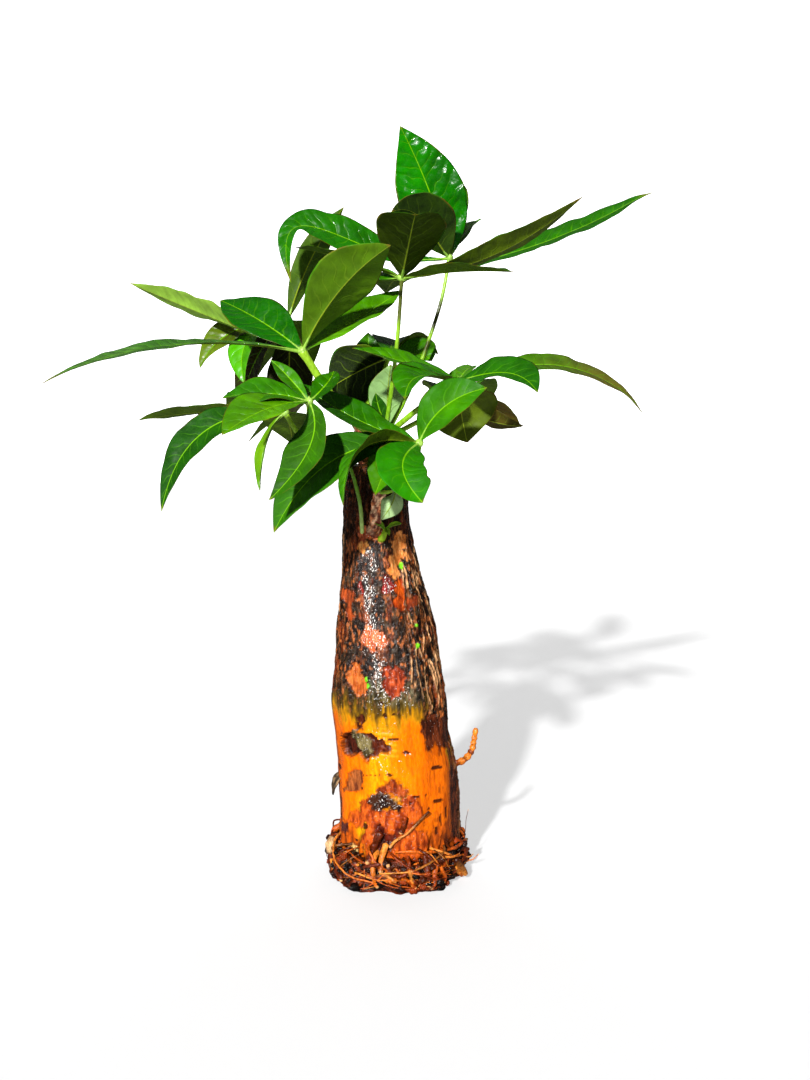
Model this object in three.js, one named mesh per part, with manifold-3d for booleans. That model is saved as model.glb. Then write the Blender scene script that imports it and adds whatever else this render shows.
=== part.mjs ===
// A young money tree (Pachira aquatica) lifted out of its pot: a swollen trunk that grew as one
// piece with its roots, the clod of soil that stays between them, four shoots from the trunk's
// cut top, and palmate leaves on long stalks. Millimetres, +Z up. The origin is the middle of the
// clod's flat underside, on which the plant stands. The front of the plant looks along -Y.

import * as THREE from "three";
import { mergeVertices } from "three/addons/utils/BufferGeometryUtils.js";
import Module from "manifold-3d";

const wasm = await Module();
wasm.setup();

// Driving dimensions
const GAP = 0.3; // clearance between pieces that touch
const TRUNK_FOOT_Z = 4;
const TRUNK_TOP_Z = 208;
const TRUNK_SIDES = 32;
const TRUNK_RINGS = 26;
const CLOD_TOP_Z = 15;
const CLOD_RADIUS = 34.5;
const CLOD_SIDES = 36;
const CLOD_RINGS = 3;
const THICK_ROOTS = 12;
const THICK_ROOT_END = 0.9;
const FINE_ROOTS = 16;
const FINE_ROOT_RADII = [0.9, 0.5];
const ROOT_INSIDE = 26; // how far from the middle each root starts, inside the trunk
const SIDE_ROOT_RADII = [1.9, 1.2];
const SIDE_ROOT_KNOBS = 0.1;
const CHIP_THICKNESS = 1;
const SHOOT_SIDES = 8;
const SHOOT_STEPS = 7;
const STALK_SIDES = 5;
const STALK_STEPS = 6;
const HUB_RADIUS = 2.3;
const BLADE_THICKNESS = 0.8;
const BLADE_STEP = 12; // length of blade for each row of its mesh
const BLADE_FOLD = 0.22;
const BLADE_WAVE = 0.05;
const LEAF_TIP_WIDTH = 0.7;

// Trunk outline: height, centre x, radius
const TRUNK_OUTLINE = [
  [4, 0, 25],
  [10, 0, 29],
  [17, 0, 30.6],
  [37, 0, 30],
  [58, -1.5, 28.8],
  [74, -4, 28.4],
  [88, -5.5, 28.4],
  [105, -6.2, 27],
  [119, -7, 25.5],
  [139, -8.6, 22.8],
  [155, -10, 20.4],
  [168, -11.3, 18.2],
  [178, -12, 16.9],
  [204, -11.8, 16.4],
  [208, -11.8, 14.5],
];

const COLOURS = {
  bark: 0x6b3a1c,
  soil: 0x2a1409,
  stem: 0x86a83a,
  wood: 0x7a5236,
  leaf: 0x2f8a1c,
};

const point = (p) => new THREE.Vector3(...p);

// A repeatable number from 0 to 1 for item i and use k.
function scatter(i, k) {
  const s = Math.sin(i * 12.9898 + k * 78.233) * 43758.5453;
  return s - Math.floor(s);
}

function between(low, high, share) {
  return low + (high - low) * share;
}

// Centre x and radius of the trunk at height z, straight between the outline's points.
function trunkAt(z) {
  const last = TRUNK_OUTLINE.length - 1;
  let i = 0;
  while (i < last - 1 && TRUNK_OUTLINE[i + 1][0] < z) i++;
  const [z0, x0, r0] = TRUNK_OUTLINE[i];
  const [z1, x1, r1] = TRUNK_OUTLINE[i + 1];
  const share = THREE.MathUtils.clamp((z - z0) / (z1 - z0), 0, 1);
  const eased = share * share * (3 - 2 * share);
  return { x: between(x0, x1, share), r: between(r0, r1, between(share, eased, 0.5)) };
}

// Bark ribs, swellings and a flat or two, as a height over the plain trunk.
function barkRelief(angle, z) {
  const ribs = 0.45 * Math.sin(9 * angle + 1.3 * Math.sin(z / 19));
  const fine = 0.3 * Math.sin(13 * angle - z / 21);
  const rings = 0.35 * Math.sin(z / 6.5 + 2 * Math.sin(angle));
  const bulges = 0.8 * Math.sin(2 * angle + z / 37) + 0.5 * Math.sin(3 * angle - z / 29);
  return ribs + fine + rings + bulges;
}

// three.js geometry with only its positions, its seams closed, as a solid.
function solidOf(geometry) {
  const bare = new THREE.BufferGeometry();
  bare.setAttribute("position", geometry.getAttribute("position"));
  bare.setIndex(geometry.getIndex());
  const merged = mergeVertices(bare, 1e-4);
  return new wasm.Manifold(
    new wasm.Mesh({
      numProp: 3,
      vertProperties: new Float32Array(merged.getAttribute("position").array),
      triVerts: new Uint32Array(merged.getIndex().array),
    }),
  );
}

function geometryOf(solid) {
  const mesh = solid.getMesh();
  const geometry = new THREE.BufferGeometry();
  geometry.setAttribute("position", new THREE.BufferAttribute(mesh.vertProperties, 3));
  geometry.setIndex(new THREE.BufferAttribute(mesh.triVerts, 1));
  geometry.computeVertexNormals();
  return geometry;
}

// Moves every vertex of a geometry to map(vertex).
function reshape(geometry, map) {
  const positions = geometry.getAttribute("position");
  const v = new THREE.Vector3();
  for (let i = 0; i < positions.count; i++) {
    v.fromBufferAttribute(positions, i);
    const moved = map(v);
    positions.setXYZ(i, moved.x, moved.y, moved.z);
  }
  return geometry;
}

// The largest body of a solid: loose scraps are dropped.
function largest(solid) {
  return solid.decompose().reduce((a, b) => (a.volume() > b.volume() ? a : b));
}

function joined(solids) {
  return solids.reduce((a, b) => a.add(b));
}

// A round stem through the points, its radius running from start to end.
function stem(points, start, end, sides, steps, knob = 0) {
  const curve = new THREE.CatmullRomCurve3(points.map(point), false, "centripetal");
  const frames = curve.computeFrenetFrames(steps, false);
  const geometry = new THREE.CylinderGeometry(1, 1, 1, sides, steps);
  return solidOf(
    reshape(geometry, (v) => {
      const share = 0.5 - v.y;
      const step = Math.round(share * steps);
      const knobs = 1 + knob * Math.cos(step * Math.PI);
      const radius = between(start, end, share) * knobs;
      return curve
        .getPointAt(share)
        .addScaledVector(frames.binormals[step], -v.x * radius)
        .addScaledVector(frames.normals[step], v.z * radius);
    }),
  );
}

function ball([x, y, z], radius) {
  const sphere = new THREE.SphereGeometry(radius, 6, 4);
  return solidOf(reshape(sphere, (v) => v.add(new THREE.Vector3(x, y, z))));
}

// Half width of a leaf blade, as a share of its full half width, from base 0 to tip 1.
// A higher full moves the widest place towards the tip.
function bladeOutline(t, full = 1.12) {
  const body = Math.sin(Math.PI * Math.pow(t, full));
  return Math.pow(Math.max(body, 0), 0.85) * (1 - 0.25 * Math.pow(t, 6));
}

// The rib's place at share t of a blade from base to tip, bowed aside by bow, most at late.
function ribPoint(base, leaf, t) {
  const tip = point(leaf.tip);
  const bow = point(leaf.bow ?? [0, 0, 4]);
  const s = Math.pow(t, leaf.late ?? 1);
  return new THREE.Vector3().lerpVectors(base, tip, t).addScaledVector(bow, 4 * s * (1 - s));
}

// A leaf blade: folded a little along its rib, its edges waved, both faces split alike.
function blade(base, leaf, thickness = BLADE_THICKNESS) {
  const face = point(leaf.face ?? [0, 0, 1]);
  const fold = leaf.fold ?? BLADE_FOLD;
  const reach = base.distanceTo(point(leaf.tip));
  const steps = THREE.MathUtils.clamp(Math.round(reach / BLADE_STEP), 5, 9);
  const positions = [];
  for (let i = 0; i <= steps; i++) {
    const t = i / steps;
    const rib = ribPoint(base, leaf, t);
    const ahead = ribPoint(base, leaf, Math.min(t + 0.02, 1));
    const behind = ribPoint(base, leaf, Math.max(t - 0.02, 0));
    const along = ahead.sub(behind).normalize();
    const side = new THREE.Vector3().crossVectors(along, face).normalize();
    const up = new THREE.Vector3().crossVectors(side, along);
    const half = Math.max((leaf.wide / 2) * bladeOutline(t, leaf.full), LEAF_TIP_WIDTH);
    for (const across of [-1, 0, 1]) {
      const ripple = BLADE_WAVE * Math.sin(11 * t + 2 * across);
      const lift = Math.abs(across) * half * (fold + ripple);
      const middle = rib.clone().addScaledVector(side, across * half).addScaledVector(up, lift);
      for (const skin of [0.5, -0.5]) {
        const vertex = middle.clone().addScaledVector(up, skin * thickness);
        positions.push(vertex.x, vertex.y, vertex.z);
      }
    }
  }
  const index = [];
  const at = (row, column, under) => row * 6 + column * 2 + under;
  const quad = (a, b, c, d) => index.push(a, b, c, a, c, d);
  for (let i = 0; i < steps; i++) {
    for (let j = 0; j < 2; j++) {
      quad(at(i, j, 0), at(i, j + 1, 0), at(i + 1, j + 1, 0), at(i + 1, j, 0));
      index.push(at(i, j, 1), at(i + 1, j + 1, 1), at(i, j + 1, 1));
      index.push(at(i, j, 1), at(i + 1, j, 1), at(i + 1, j + 1, 1));
    }
    quad(at(i, 0, 1), at(i, 0, 0), at(i + 1, 0, 0), at(i + 1, 0, 1));
    quad(at(i, 2, 0), at(i, 2, 1), at(i + 1, 2, 1), at(i + 1, 2, 0));
  }
  for (let j = 0; j < 2; j++) {
    quad(at(0, j, 1), at(0, j + 1, 1), at(0, j + 1, 0), at(0, j, 0));
    quad(at(steps, j, 0), at(steps, j + 1, 0), at(steps, j + 1, 1), at(steps, j, 1));
  }
  const geometry = new THREE.BufferGeometry();
  geometry.setAttribute("position", new THREE.Float32BufferAttribute(positions, 3));
  geometry.setIndex(index);
  return solidOf(geometry);
}

// The trunk without its roots, grown by extra all round.
function trunkBody(extra) {
  const geometry = new THREE.CylinderGeometry(1, 1, 1, TRUNK_SIDES, TRUNK_RINGS);
  const foot = TRUNK_FOOT_Z - extra;
  const top = TRUNK_TOP_Z + extra;
  return solidOf(
    reshape(geometry, (v) => {
      const z = between(foot, top, v.y + 0.5);
      const { x, r } = trunkAt(z);
      const reach = Math.hypot(v.x, v.z);
      const angle = Math.atan2(-v.z, v.x);
      const radius = reach * (r + barkRelief(angle, z) + extra);
      const dish = reach < 0.5 && v.y > 0 ? -1 : 0;
      return new THREE.Vector3(x + radius * Math.cos(angle), radius * Math.sin(angle), z + dish);
    }),
  );
}

// How far the clod reaches at an angle and height.
function clodRadius(angle, z) {
  const lumps = 1.6 * Math.sin(5 * angle + 0.6) + 1.1 * Math.sin(11 * angle + z / 3);
  const front = 2.5 * Math.max(0, Math.cos(angle + 1.35)) - 2.6 * Math.cos(angle);
  const shoulder = 4 * Math.pow(Math.abs(z / CLOD_TOP_Z - 0.4), 2);
  return CLOD_RADIUS + lumps + front - shoulder;
}

// Points along a root that leaves the trunk at an angle, runs over the clod's edge, then down
// and round the clod, proud of its side by a given height.
function rootRoute(angle, sweep, startZ, endZ, proud) {
  const route = [];
  for (let i = 0; i <= 5; i++) {
    const share = i / 5;
    const a = angle + sweep * share * share;
    const down = THREE.MathUtils.smoothstep(share, 0.25, 1);
    const z = between(startZ, endZ, down);
    const r = between(ROOT_INSIDE, clodRadius(a, z) + proud, Math.min(1, share * 2.4));
    route.push([r * Math.cos(a), r * Math.sin(a), z]);
  }
  return route;
}

// Thick roots, sunk half into the clod's side
function thickRoots(extra) {
  const roots = [];
  for (let i = 0; i < THICK_ROOTS; i++) {
    const angle = (2 * Math.PI * (i + 0.5 * scatter(i, 1))) / THICK_ROOTS;
    const sweep = between(-0.5, 0.5, scatter(i, 2));
    const route = rootRoute(angle, sweep, between(13, 19, scatter(i, 3)), 2.8, 0.2);
    const thick = between(1.7, 2.9, scatter(i, 4));
    roots.push(stem(route, thick + extra, THICK_ROOT_END + extra, 5, 6));
  }
  return roots;
}

// Fine roots, which lie over the clod
function fineRoots(extra) {
  const roots = [];
  const [start, end] = FINE_ROOT_RADII;
  for (let i = 0; i < FINE_ROOTS; i++) {
    const angle = (2 * Math.PI * (i + 0.7 * scatter(i, 5))) / FINE_ROOTS;
    const way = scatter(i, 6) < 0.5 ? -1 : 1;
    const sweep = way * between(0.5, 1.2, scatter(i, 7));
    const startZ = between(18.5, 24, scatter(i, 8));
    const route = rootRoute(angle, sweep, startZ, between(2, 11, scatter(i, 9)), 1.3);
    roots.push(stem(route, start + extra, end + extra, 4, 7));
  }
  return roots;
}

// The curled root high on the right side, and a bark chip that peels off on the left.
function trunkExtras() {
  const sideRoot = [
    [22, -1, 54],
    [28, -2, 55.5],
    [33, -3, 58],
    [36.5, -3, 63],
    [37.5, -3, 68],
    [38.5, -3, 74],
  ];
  const chip = { tip: [-34, -5, 40], bow: [-1.5, 0, 1], wide: 8, face: [-1, -0.4, 0.6] };
  const [start, end] = SIDE_ROOT_RADII;
  const root = stem(sideRoot, start, end, 6, 9, SIDE_ROOT_KNOBS);
  return [root, blade(point([-26, -4, 54]), chip, CHIP_THICKNESS)];
}

// Shoots: the points of their axis, and the radius at foot and top
const SHOOTS = {
  shoot_front: {
    route: [[-13, -8, 170], [-12.5, -17.5, 178], [-10.5, -22, 191], [-7.5, -26, 206]],
    radii: [3.6, 2.3],
    colour: COLOURS.wood,
  },
  shoot_left: {
    route: [[-18.5, -8, 169], [-18.4, -17.5, 178], [-19.1, -21.5, 190], [-22, -24, 203], [-26, -25, 214]],
    radii: [1.5, 1.2],
    colour: COLOURS.stem,
  },
  shoot_top: {
    route: [[-9, -2, 200], [-9, -2, 212], [-8, -3, 220], [-6.5, -4, 228]],
    radii: [4.4, 3],
    colour: COLOURS.stem,
  },
  shoot_back: {
    route: [[-16, 7, 200], [-18, 11, 211], [-20, 15, 219], [-21, 18, 226]],
    radii: [3.8, 2.8],
    colour: COLOURS.wood,
  },
};

// Leaves. stalk is the leaf stalk's axis from inside its shoot to the hub, where the leaflets
// meet. Each leaflet has its tip, its width, the way its upper side faces, and its bow.
const LEAVES = {
  leaf_a: {
    shoot: "shoot_top",
    stalk: [[-7, -4, 225], [-4, -10, 245], [-1, -14, 270], [1, -15, 297.5]],
    radii: [1.6, 1.2],
    leaflets: [
      { tip: [82, -45, 331], wide: 19, bow: [3, 0, -6.5], face: [-0.35, 0.45, 1], fold: 0.15 },
      { tip: [123, 5, 341.5], wide: 20, bow: [5, 0, -5], face: [-0.35, -0.55, 1], fold: 0.15 },
      { tip: [50, -62, 296], wide: 18, bow: [1, 0, 2], face: [0, 0.1, 1] },
      { tip: [7, -68, 319.5], wide: 32, bow: [1, -2, 6], late: 1.3, face: [0, 0.6, 0.8] },
      { tip: [-53, 25, 316], wide: 18, bow: [0.5, 0, 2], face: [0, 0.1, 1] },
      { tip: [-45, 26, 301], wide: 19, bow: [0, 0, -1], face: [0, -0.5, 1] },
      { tip: [-8, 62, 296], wide: 22, bow: [0, 0, 3], face: [0, 0, 1] },
    ],
  },
  leaf_g: {
    shoot: "shoot_top",
    stalk: [[-7, -2, 222], [5, 7, 245], [14, 15, 268], [21, 21, 290], [25, 25, 311]],
    radii: [1.5, 1.1],
    leaflets: [
      { tip: [0, 18, 374], wide: 34, full: 0.88, bow: [2, 0, 1], face: [-0.08, -0.94, 0.34], fold: 0.12 },
      { tip: [41, 60, 334], wide: 18, bow: [0, 0, 3], face: [-0.2, 0.1, 1] },
      { tip: [-4, -8, 329], wide: 30, bow: [2, 0, 7], late: 1.5, face: [0.2, 0.8, 0.6] },
      { tip: [-53.5, 5, 297], wide: 22, bow: [-14, 0, 24.5], late: 2.6, full: 1.5, face: [-0.4, -0.6, 0.6] },
      { tip: [21, 70, 364], wide: 26, bow: [0, 6, 4], face: [0, -0.7, 0.7] },
    ],
  },
  leaf_b: {
    shoot: "shoot_top",
    stalk: [[-8, -3, 219], [-20, -14, 228], [-33, -25, 243], [-45.5, -30, 262.5]],
    radii: [2.1, 1.8],
    leaflets: [
      { tip: [-4, -48, 309], wide: 31, full: 1.3, bow: [-3, 0, 4], face: [-0.45, 0.8, 0.4] },
      { tip: [-88, 2, 288], wide: 26, bow: [0.5, -3, 2], face: [0.2, -0.8, 0.6] },
      { tip: [-158, -62, 248.5], wide: 17, full: 1.5, bow: [-1.5, 0, 9.5], face: [0, -0.25, 1], fold: 0.1 },
      { tip: [1, 3, 293], wide: 22, bow: [0.5, 0, 0], face: [-0.2, -0.6, 0.8] },
      { tip: [-140.3, 40, 299.5], wide: 21, bow: [1.5, 14, -1], late: 1.2, face: [0, 0.65, 0.8] },
    ],
  },
  leaf_c: {
    shoot: "shoot_left",
    stalk: [[-25.7, -25, 213], [-34, -41, 221], [-40, -54, 230.5], [-40, -62, 239.5]],
    radii: [1.5, 1.3],
    leaflets: [
      { tip: [-74, -95, 226], wide: 28, full: 1.3, bow: [0, 0, 4], face: [-0.1, -0.5, 1] },
      { tip: [-78, -66, 241], wide: 22, bow: [0, 0, 3], face: [-0.1, -0.5, 1] },
      { tip: [-55.5, -88, 198], wide: 21, bow: [9, -2, 2], face: [-0.65, -0.9, 0.1] },
      { tip: [-30, -45, 253], wide: 12, bow: [2, 0, 1], face: [-0.3, -0.8, 0.4] },
      { tip: [-58, -50, 258], wide: 8, bow: [0, 0, 1], face: [0.3, -0.9, 0.4] },
    ],
  },
  leaf_d: {
    shoot: "shoot_front",
    stalk: [[-8, -26, 205], [1, -35, 207], [7, -45, 211], [9, -50, 220.5]],
    radii: [1.5, 1.3],
    leaflets: [
      { tip: [-47, -42, 248], wide: 22, bow: [0, 0, -3], face: [0.3, -0.5, 0.9] },
      { tip: [-24, -86, 195.5], wide: 18, bow: [-9, 0, 11.5], face: [-0.9, -0.3, 0.5] },
      { tip: [-55.5, -70, 182], wide: 29, full: 1.45, bow: [-6, -1, 12.5], face: [-0.5, -0.8, 0.6] },
      { tip: [39, -58, 245.5], wide: 25, bow: [-4, 0, 4], face: [-0.5, -0.8, 0.6] },
      { tip: [-10.5, -74, 199], wide: 20, bow: [-2, 2, 4], face: [-0.1, -0.8, 0.6] },
      { tip: [10, -90, 197], wide: 25, bow: [-8, -9, 3], face: [0.15, -0.8, 0.6] },
    ],
  },
  leaf_e: {
    shoot: "shoot_top",
    stalk: [[-7, -4, 222], [6, -11, 233], [18, -17, 242], [28, -22, 249]],
    radii: [1.5, 1.2],
    leaflets: [
      { tip: [119, -5, 236], wide: 19, bow: [-1, 0, 14.5], late: 1.2, face: [0, -0.5, 1], fold: 0.12 },
      { tip: [61.5, -60, 243.5], wide: 22, bow: [3, 0, 6.5], late: 1.2, face: [0.3, -0.9, 0.7] },
      { tip: [2.5, -55, 240.5], wide: 26, bow: [-4, 0, 7], late: 1.4, face: [-0.4, -0.7, 0.7] },
      { tip: [-22, -30, 264], wide: 17, bow: [0, 0, 1], face: [0, -0.4, 1] },
      { tip: [37, 12, 256], wide: 10, bow: [0, 0, 2], face: [0, -0.2, 1] },
      { tip: [33, -9, 219], wide: 36, bow: [-1, 6, 2], face: [0.1, 0.95, 0.3] },
    ],
  },
  leaf_i: {
    shoot: "shoot_back",
    stalk: [[-20, 16, 220], [-17, 24, 236], [-10, 31, 250], [-6, 35, 261]],
    radii: [1.4, 1.1],
    leaflets: [
      { tip: [16, 22, 259], wide: 22, bow: [3, 0, 3], face: [0, -0.7, 0.7] },
      { tip: [20, 42, 263], wide: 16, bow: [0, 2, 6], face: [0, 0.5, 0.8] },
      { tip: [-36, 18, 245], wide: 32, bow: [0, 0, 1], face: [-0.3, 1, -0.2] },
      { tip: [-31, 42, 263], wide: 16, bow: [0, 0, 1], face: [0, 0.4, 0.8] },
      { tip: [0, 98, 266], wide: 25, bow: [0, 0, 8], face: [0, 0, 1] },
    ],
  },
  leaf_l: {
    shoot: "shoot_top",
    stalk: [[-9, -2, 214], [-7, 3, 218], [-6, 8, 225]],
    radii: [1.2, 1],
    leaflets: [
      { tip: [-4.5, 4, 257], wide: 20, bow: [-1, 3, 0], face: [0, 1, 0.1], fold: 0.1 },
      { tip: [-12, 3, 243], wide: 8, bow: [-1, 0, 0], face: [0, -1, 0.2] },
    ],
  },
  leaf_j: {
    shoot: "shoot_left",
    stalk: [[-24, -24.4, 209], [-37, -22.5, 213], [-47, -22, 222], [-54.5, -22, 233.5]],
    radii: [1.4, 1.2],
    leaflets: [
      { tip: [-110, -45, 189], wide: 19, bow: [-10, 0, 13.5], face: [-0.45, -0.85, 0.5] },
      { tip: [-130.5, 5, 229.5], wide: 18, bow: [-1, 0, 3], face: [0, 0.3, 1], fold: 0.1 },
      { tip: [-53.5, 8, 217], wide: 27, bow: [0, 0, 3], face: [0, 0.6, 0.5] },
      { tip: [-66, -32, 197.5], wide: 12, bow: [-4.5, 0, 1], late: 0.7, face: [-1, -0.5, 0.2] },
      { tip: [-88, 17, 236], wide: 20, bow: [0, 0, 6], face: [0, 0.3, 1] },
    ],
  },
  leaf_m: {
    shoot: "shoot_back",
    stalk: [[-21, 18, 224], [-34, 27, 242], [-48, 33, 260], [-58, 35, 280]],
    radii: [1.5, 1.2],
    leaflets: [
      { tip: [-29, 40, 338], wide: 15, bow: [-3, 0, 2], face: [-0.35, 0.9, 0.2] },
      { tip: [-103, 28, 255.5], wide: 18, bow: [-7, 0, 6], face: [-0.5, -0.8, 0.5] },
      { tip: [-78, 12, 247.5], wide: 19, bow: [-9.5, 0, 6.5], face: [-0.6, -0.7, 0.5] },
      { tip: [-84, 34, 224], wide: 19, bow: [-5, 0, 6], face: [-0.7, -0.6, 0.1] },
      { tip: [-61, 26, 226], wide: 24, bow: [2, 2, 0], face: [0.1, 1, 0.2] },
      { tip: [-54, 94, 250], wide: 25, bow: [0, 0, 8], face: [0, 0, 1] },
      { tip: [-80, 78, 251], wide: 25, bow: [0, 0, 6], face: [0, -0.3, 1] },
    ],
  },
  leaf_n: {
    shoot: "shoot_back",
    stalk: [[-19, 14, 216], [-3, 28, 222], [13, 41, 230], [26, 48, 239]],
    radii: [1.5, 1.2],
    leaflets: [
      { tip: [64, 30, 226], wide: 15, bow: [0, 0, -3], face: [0, 0.8, 0.8] },
      { tip: [52, 90, 240], wide: 25, bow: [0, 0, 8], face: [0, 0, 1] },
      { tip: [24, 118, 238], wide: 26, bow: [0, 0, 8], face: [0, 0, 1] },
      { tip: [66, 66, 224], wide: 23, bow: [0, 0, 5], face: [0, 0, 1] },
      { tip: [36, 50, 258], wide: 13, bow: [0, 3, 0], face: [0, -1, 0.3] },
    ],
  },
  leaf_o: {
    shoot: "shoot_back",
    stalk: [[-19, 15, 218], [-20, 32, 224], [-19, 50, 232], [-17, 62, 241]],
    radii: [1.5, 1.2],
    leaflets: [
      { tip: [-14, 128, 240], wide: 27, bow: [0, 0, 10], face: [0, 0, 1] },
      { tip: [-62, 118, 232], wide: 26, bow: [0, 0, 10], face: [0, 0, 1] },
      { tip: [-84, 70, 216], wide: 24, bow: [0, 0, 10], face: [0, 0, 1] },
      { tip: [-18, 82, 276], wide: 18, bow: [0, 4, 2], face: [0, -0.9, 0.4] },
      { tip: [8, 82, 254], wide: 16, bow: [0, 0, 3], face: [0, -0.3, 1] },
    ],
  },
  leaf_p: {
    shoot: "shoot_front",
    stalk: [[-10.5, -24, 196], [-6, -29, 196.5], [-2, -32, 198]],
    radii: [1, 0.9],
    leaflets: [
      { tip: [-8.8, -37, 184], wide: 10.5, bow: [2, -3, 1], face: [0.2, 1, 0.2] },
      { tip: [-12, -42, 197], wide: 13, bow: [-1, -1, 3], face: [-0.2, -0.7, 0.7] },
    ],
  },
};

const plant = new THREE.Group();

function place(name, solid, colour, roughness) {
  const material = new THREE.MeshStandardMaterial({ color: colour, roughness, metalness: 0 });
  const mesh = new THREE.Mesh(geometryOf(solid), material);
  mesh.name = name;
  plant.add(mesh);
}

// Trunk and roots, one grown piece
const trunk = joined([trunkBody(0), ...thickRoots(0), ...fineRoots(0), ...trunkExtras()]);
const trunkWithGap = joined([trunkBody(GAP), ...thickRoots(GAP), ...fineRoots(GAP)]);
place("trunk", largest(trunk), COLOURS.bark, 0.35);

// Soil clod, cut clear of the trunk and roots, flat underneath
const clodShape = new THREE.CylinderGeometry(1, 1, 1, CLOD_SIDES, CLOD_RINGS);
const clod = solidOf(
  reshape(clodShape, (v) => {
    const reach = Math.hypot(v.x, v.z);
    const angle = Math.atan2(-v.z, v.x);
    const uneven = v.y > 0.49 ? 1.2 * Math.sin(7 * angle) : 0;
    const z = between(0, CLOD_TOP_Z, v.y + 0.5) + uneven;
    const r = reach * clodRadius(angle, z);
    return new THREE.Vector3(r * Math.cos(angle), r * Math.sin(angle), z);
  }),
);
place("soil", largest(clod.subtract(trunkWithGap)), COLOURS.soil, 0.9);

// Shoots, each seated on the trunk
const shootsWithGap = {};
for (const [name, { route, radii, colour }] of Object.entries(SHOOTS)) {
  const shoot = stem(route, radii[0], radii[1], SHOOT_SIDES, SHOOT_STEPS);
  const [start, end] = radii.map((radius) => radius + GAP);
  shootsWithGap[name] = stem(route, start, end, SHOOT_SIDES, SHOOT_STEPS);
  place(name, largest(shoot.subtract(trunkWithGap)), colour, 0.5);
}

// Leaves, each seated on its shoot
for (const [name, { shoot, stalk, radii, leaflets }] of Object.entries(LEAVES)) {
  const hub = stalk[stalk.length - 1];
  const blades = leaflets.map((leaf) => blade(point(hub), leaf));
  const stalkSolid = stem(stalk, radii[0], radii[1], STALK_SIDES, STALK_STEPS);
  const whole = joined([stalkSolid, ball(hub, HUB_RADIUS), ...blades]);
  place(name, largest(whole.subtract(shootsWithGap[shoot])), COLOURS.leaf, 0.3);
}

export default plant;
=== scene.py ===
# A bare-root money tree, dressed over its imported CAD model. The numbers below are millimetres;
# MM turns them into Blender's metres. The front of the plant looks along -Y.

import math

import bpy
import numpy as np
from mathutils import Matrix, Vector


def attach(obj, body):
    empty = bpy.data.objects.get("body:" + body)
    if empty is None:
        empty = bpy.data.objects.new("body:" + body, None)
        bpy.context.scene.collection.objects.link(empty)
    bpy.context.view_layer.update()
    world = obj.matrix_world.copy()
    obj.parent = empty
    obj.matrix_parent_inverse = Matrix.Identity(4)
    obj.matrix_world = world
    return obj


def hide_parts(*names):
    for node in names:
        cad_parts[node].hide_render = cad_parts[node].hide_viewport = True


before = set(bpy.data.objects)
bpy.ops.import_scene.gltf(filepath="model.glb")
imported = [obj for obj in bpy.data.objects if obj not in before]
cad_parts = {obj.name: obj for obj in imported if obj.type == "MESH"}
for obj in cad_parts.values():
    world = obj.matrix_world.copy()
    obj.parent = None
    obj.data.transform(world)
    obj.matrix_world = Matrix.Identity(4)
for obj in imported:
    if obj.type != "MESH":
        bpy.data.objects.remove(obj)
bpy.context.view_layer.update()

MM = 0.001
ALBEDO = 0.75


# Numbers and noise

def lin(r, g, b):
    """A colour as it looks in full light, 0 to 255, as the share of light that it returns."""
    c = np.array([r, g, b], float) / 255
    return ALBEDO * np.where(c <= 0.04045, c / 12.92, ((c + 0.055) / 1.055) ** 2.4)


def step(low, high, x):
    s = np.clip((x - low) / (high - low), 0, 1)
    return s * s * (3 - 2 * s)


def mix(a, b, share):
    return a + (b - a) * share


def blend(a, b, mask):
    """Colour a turned into colour b where mask is 1."""
    return a + (b - a) * np.asarray(mask)[..., None]


def two_tones(one, two, mask):
    """One screen colour, turned into the other where mask is 1."""
    return blend(lin(*one), lin(*two), mask)


def layers(colour, *coats):
    """colour under coats of paint. Each is a screen colour or a made one, and where it lies."""
    for coat, mask in coats:
        colour = blend(colour, lin(*coat) if isinstance(coat, tuple) else coat, mask)
    return colour


def lattice(x, y, z, seed):
    h = (x * 374761393 + y * 668265263 + z * 1274126177 + seed * 97463477) & 0xFFFFFFFF
    h = ((h ^ (h >> 13)) * 1103515245) & 0xFFFFFFFF
    h = ((h ^ (h >> 16)) * 1566083941) & 0xFFFFFFFF
    return (h ^ (h >> 15)).astype(float) / 4294967295.0


def noise(p, size, seed=0):
    q = np.asarray(p, float) / size
    i = np.floor(q).astype(np.int64)
    f = q - i
    f = f * f * (3 - 2 * f)
    total = 0.0
    for dx in (0, 1):
        wx = f[..., 0] if dx else 1 - f[..., 0]
        for dy in (0, 1):
            wy = f[..., 1] if dy else 1 - f[..., 1]
            for dz in (0, 1):
                wz = f[..., 2] if dz else 1 - f[..., 2]
                corner = lattice(i[..., 0] + dx, i[..., 1] + dy, i[..., 2] + dz, seed)
                total = total + wx * wy * wz * corner
    return total


def fbm(p, size, seed=0, octaves=3):
    size = np.asarray(size, float)
    total = 0.0
    weight = 1.0
    weights = 0.0
    for k in range(octaves):
        total = total + weight * noise(p, size / 2 ** k, seed + 7 * k)
        weights += weight
        weight *= 0.5
    return total / weights


def ridge(p, size, seed=0):
    """Noise whose value 1 lies along thin lines."""
    return 1 - np.abs(2 * fbm(p, size, seed, 2) - 1)


def scatter(i, k):
    """A number from 0 to 1 that looks random and is the same in every run."""
    s = math.sin(i * 12.9898 + k * 78.233) * 43758.5453
    return s - math.floor(s)


def pick(low, high, i, k):
    return mix(low, high, scatter(i, k))


# Mesh building

def put_in_scene(name, data):
    made = bpy.data.objects.new(name, data)
    bpy.context.scene.collection.objects.link(made)
    return made


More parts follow.
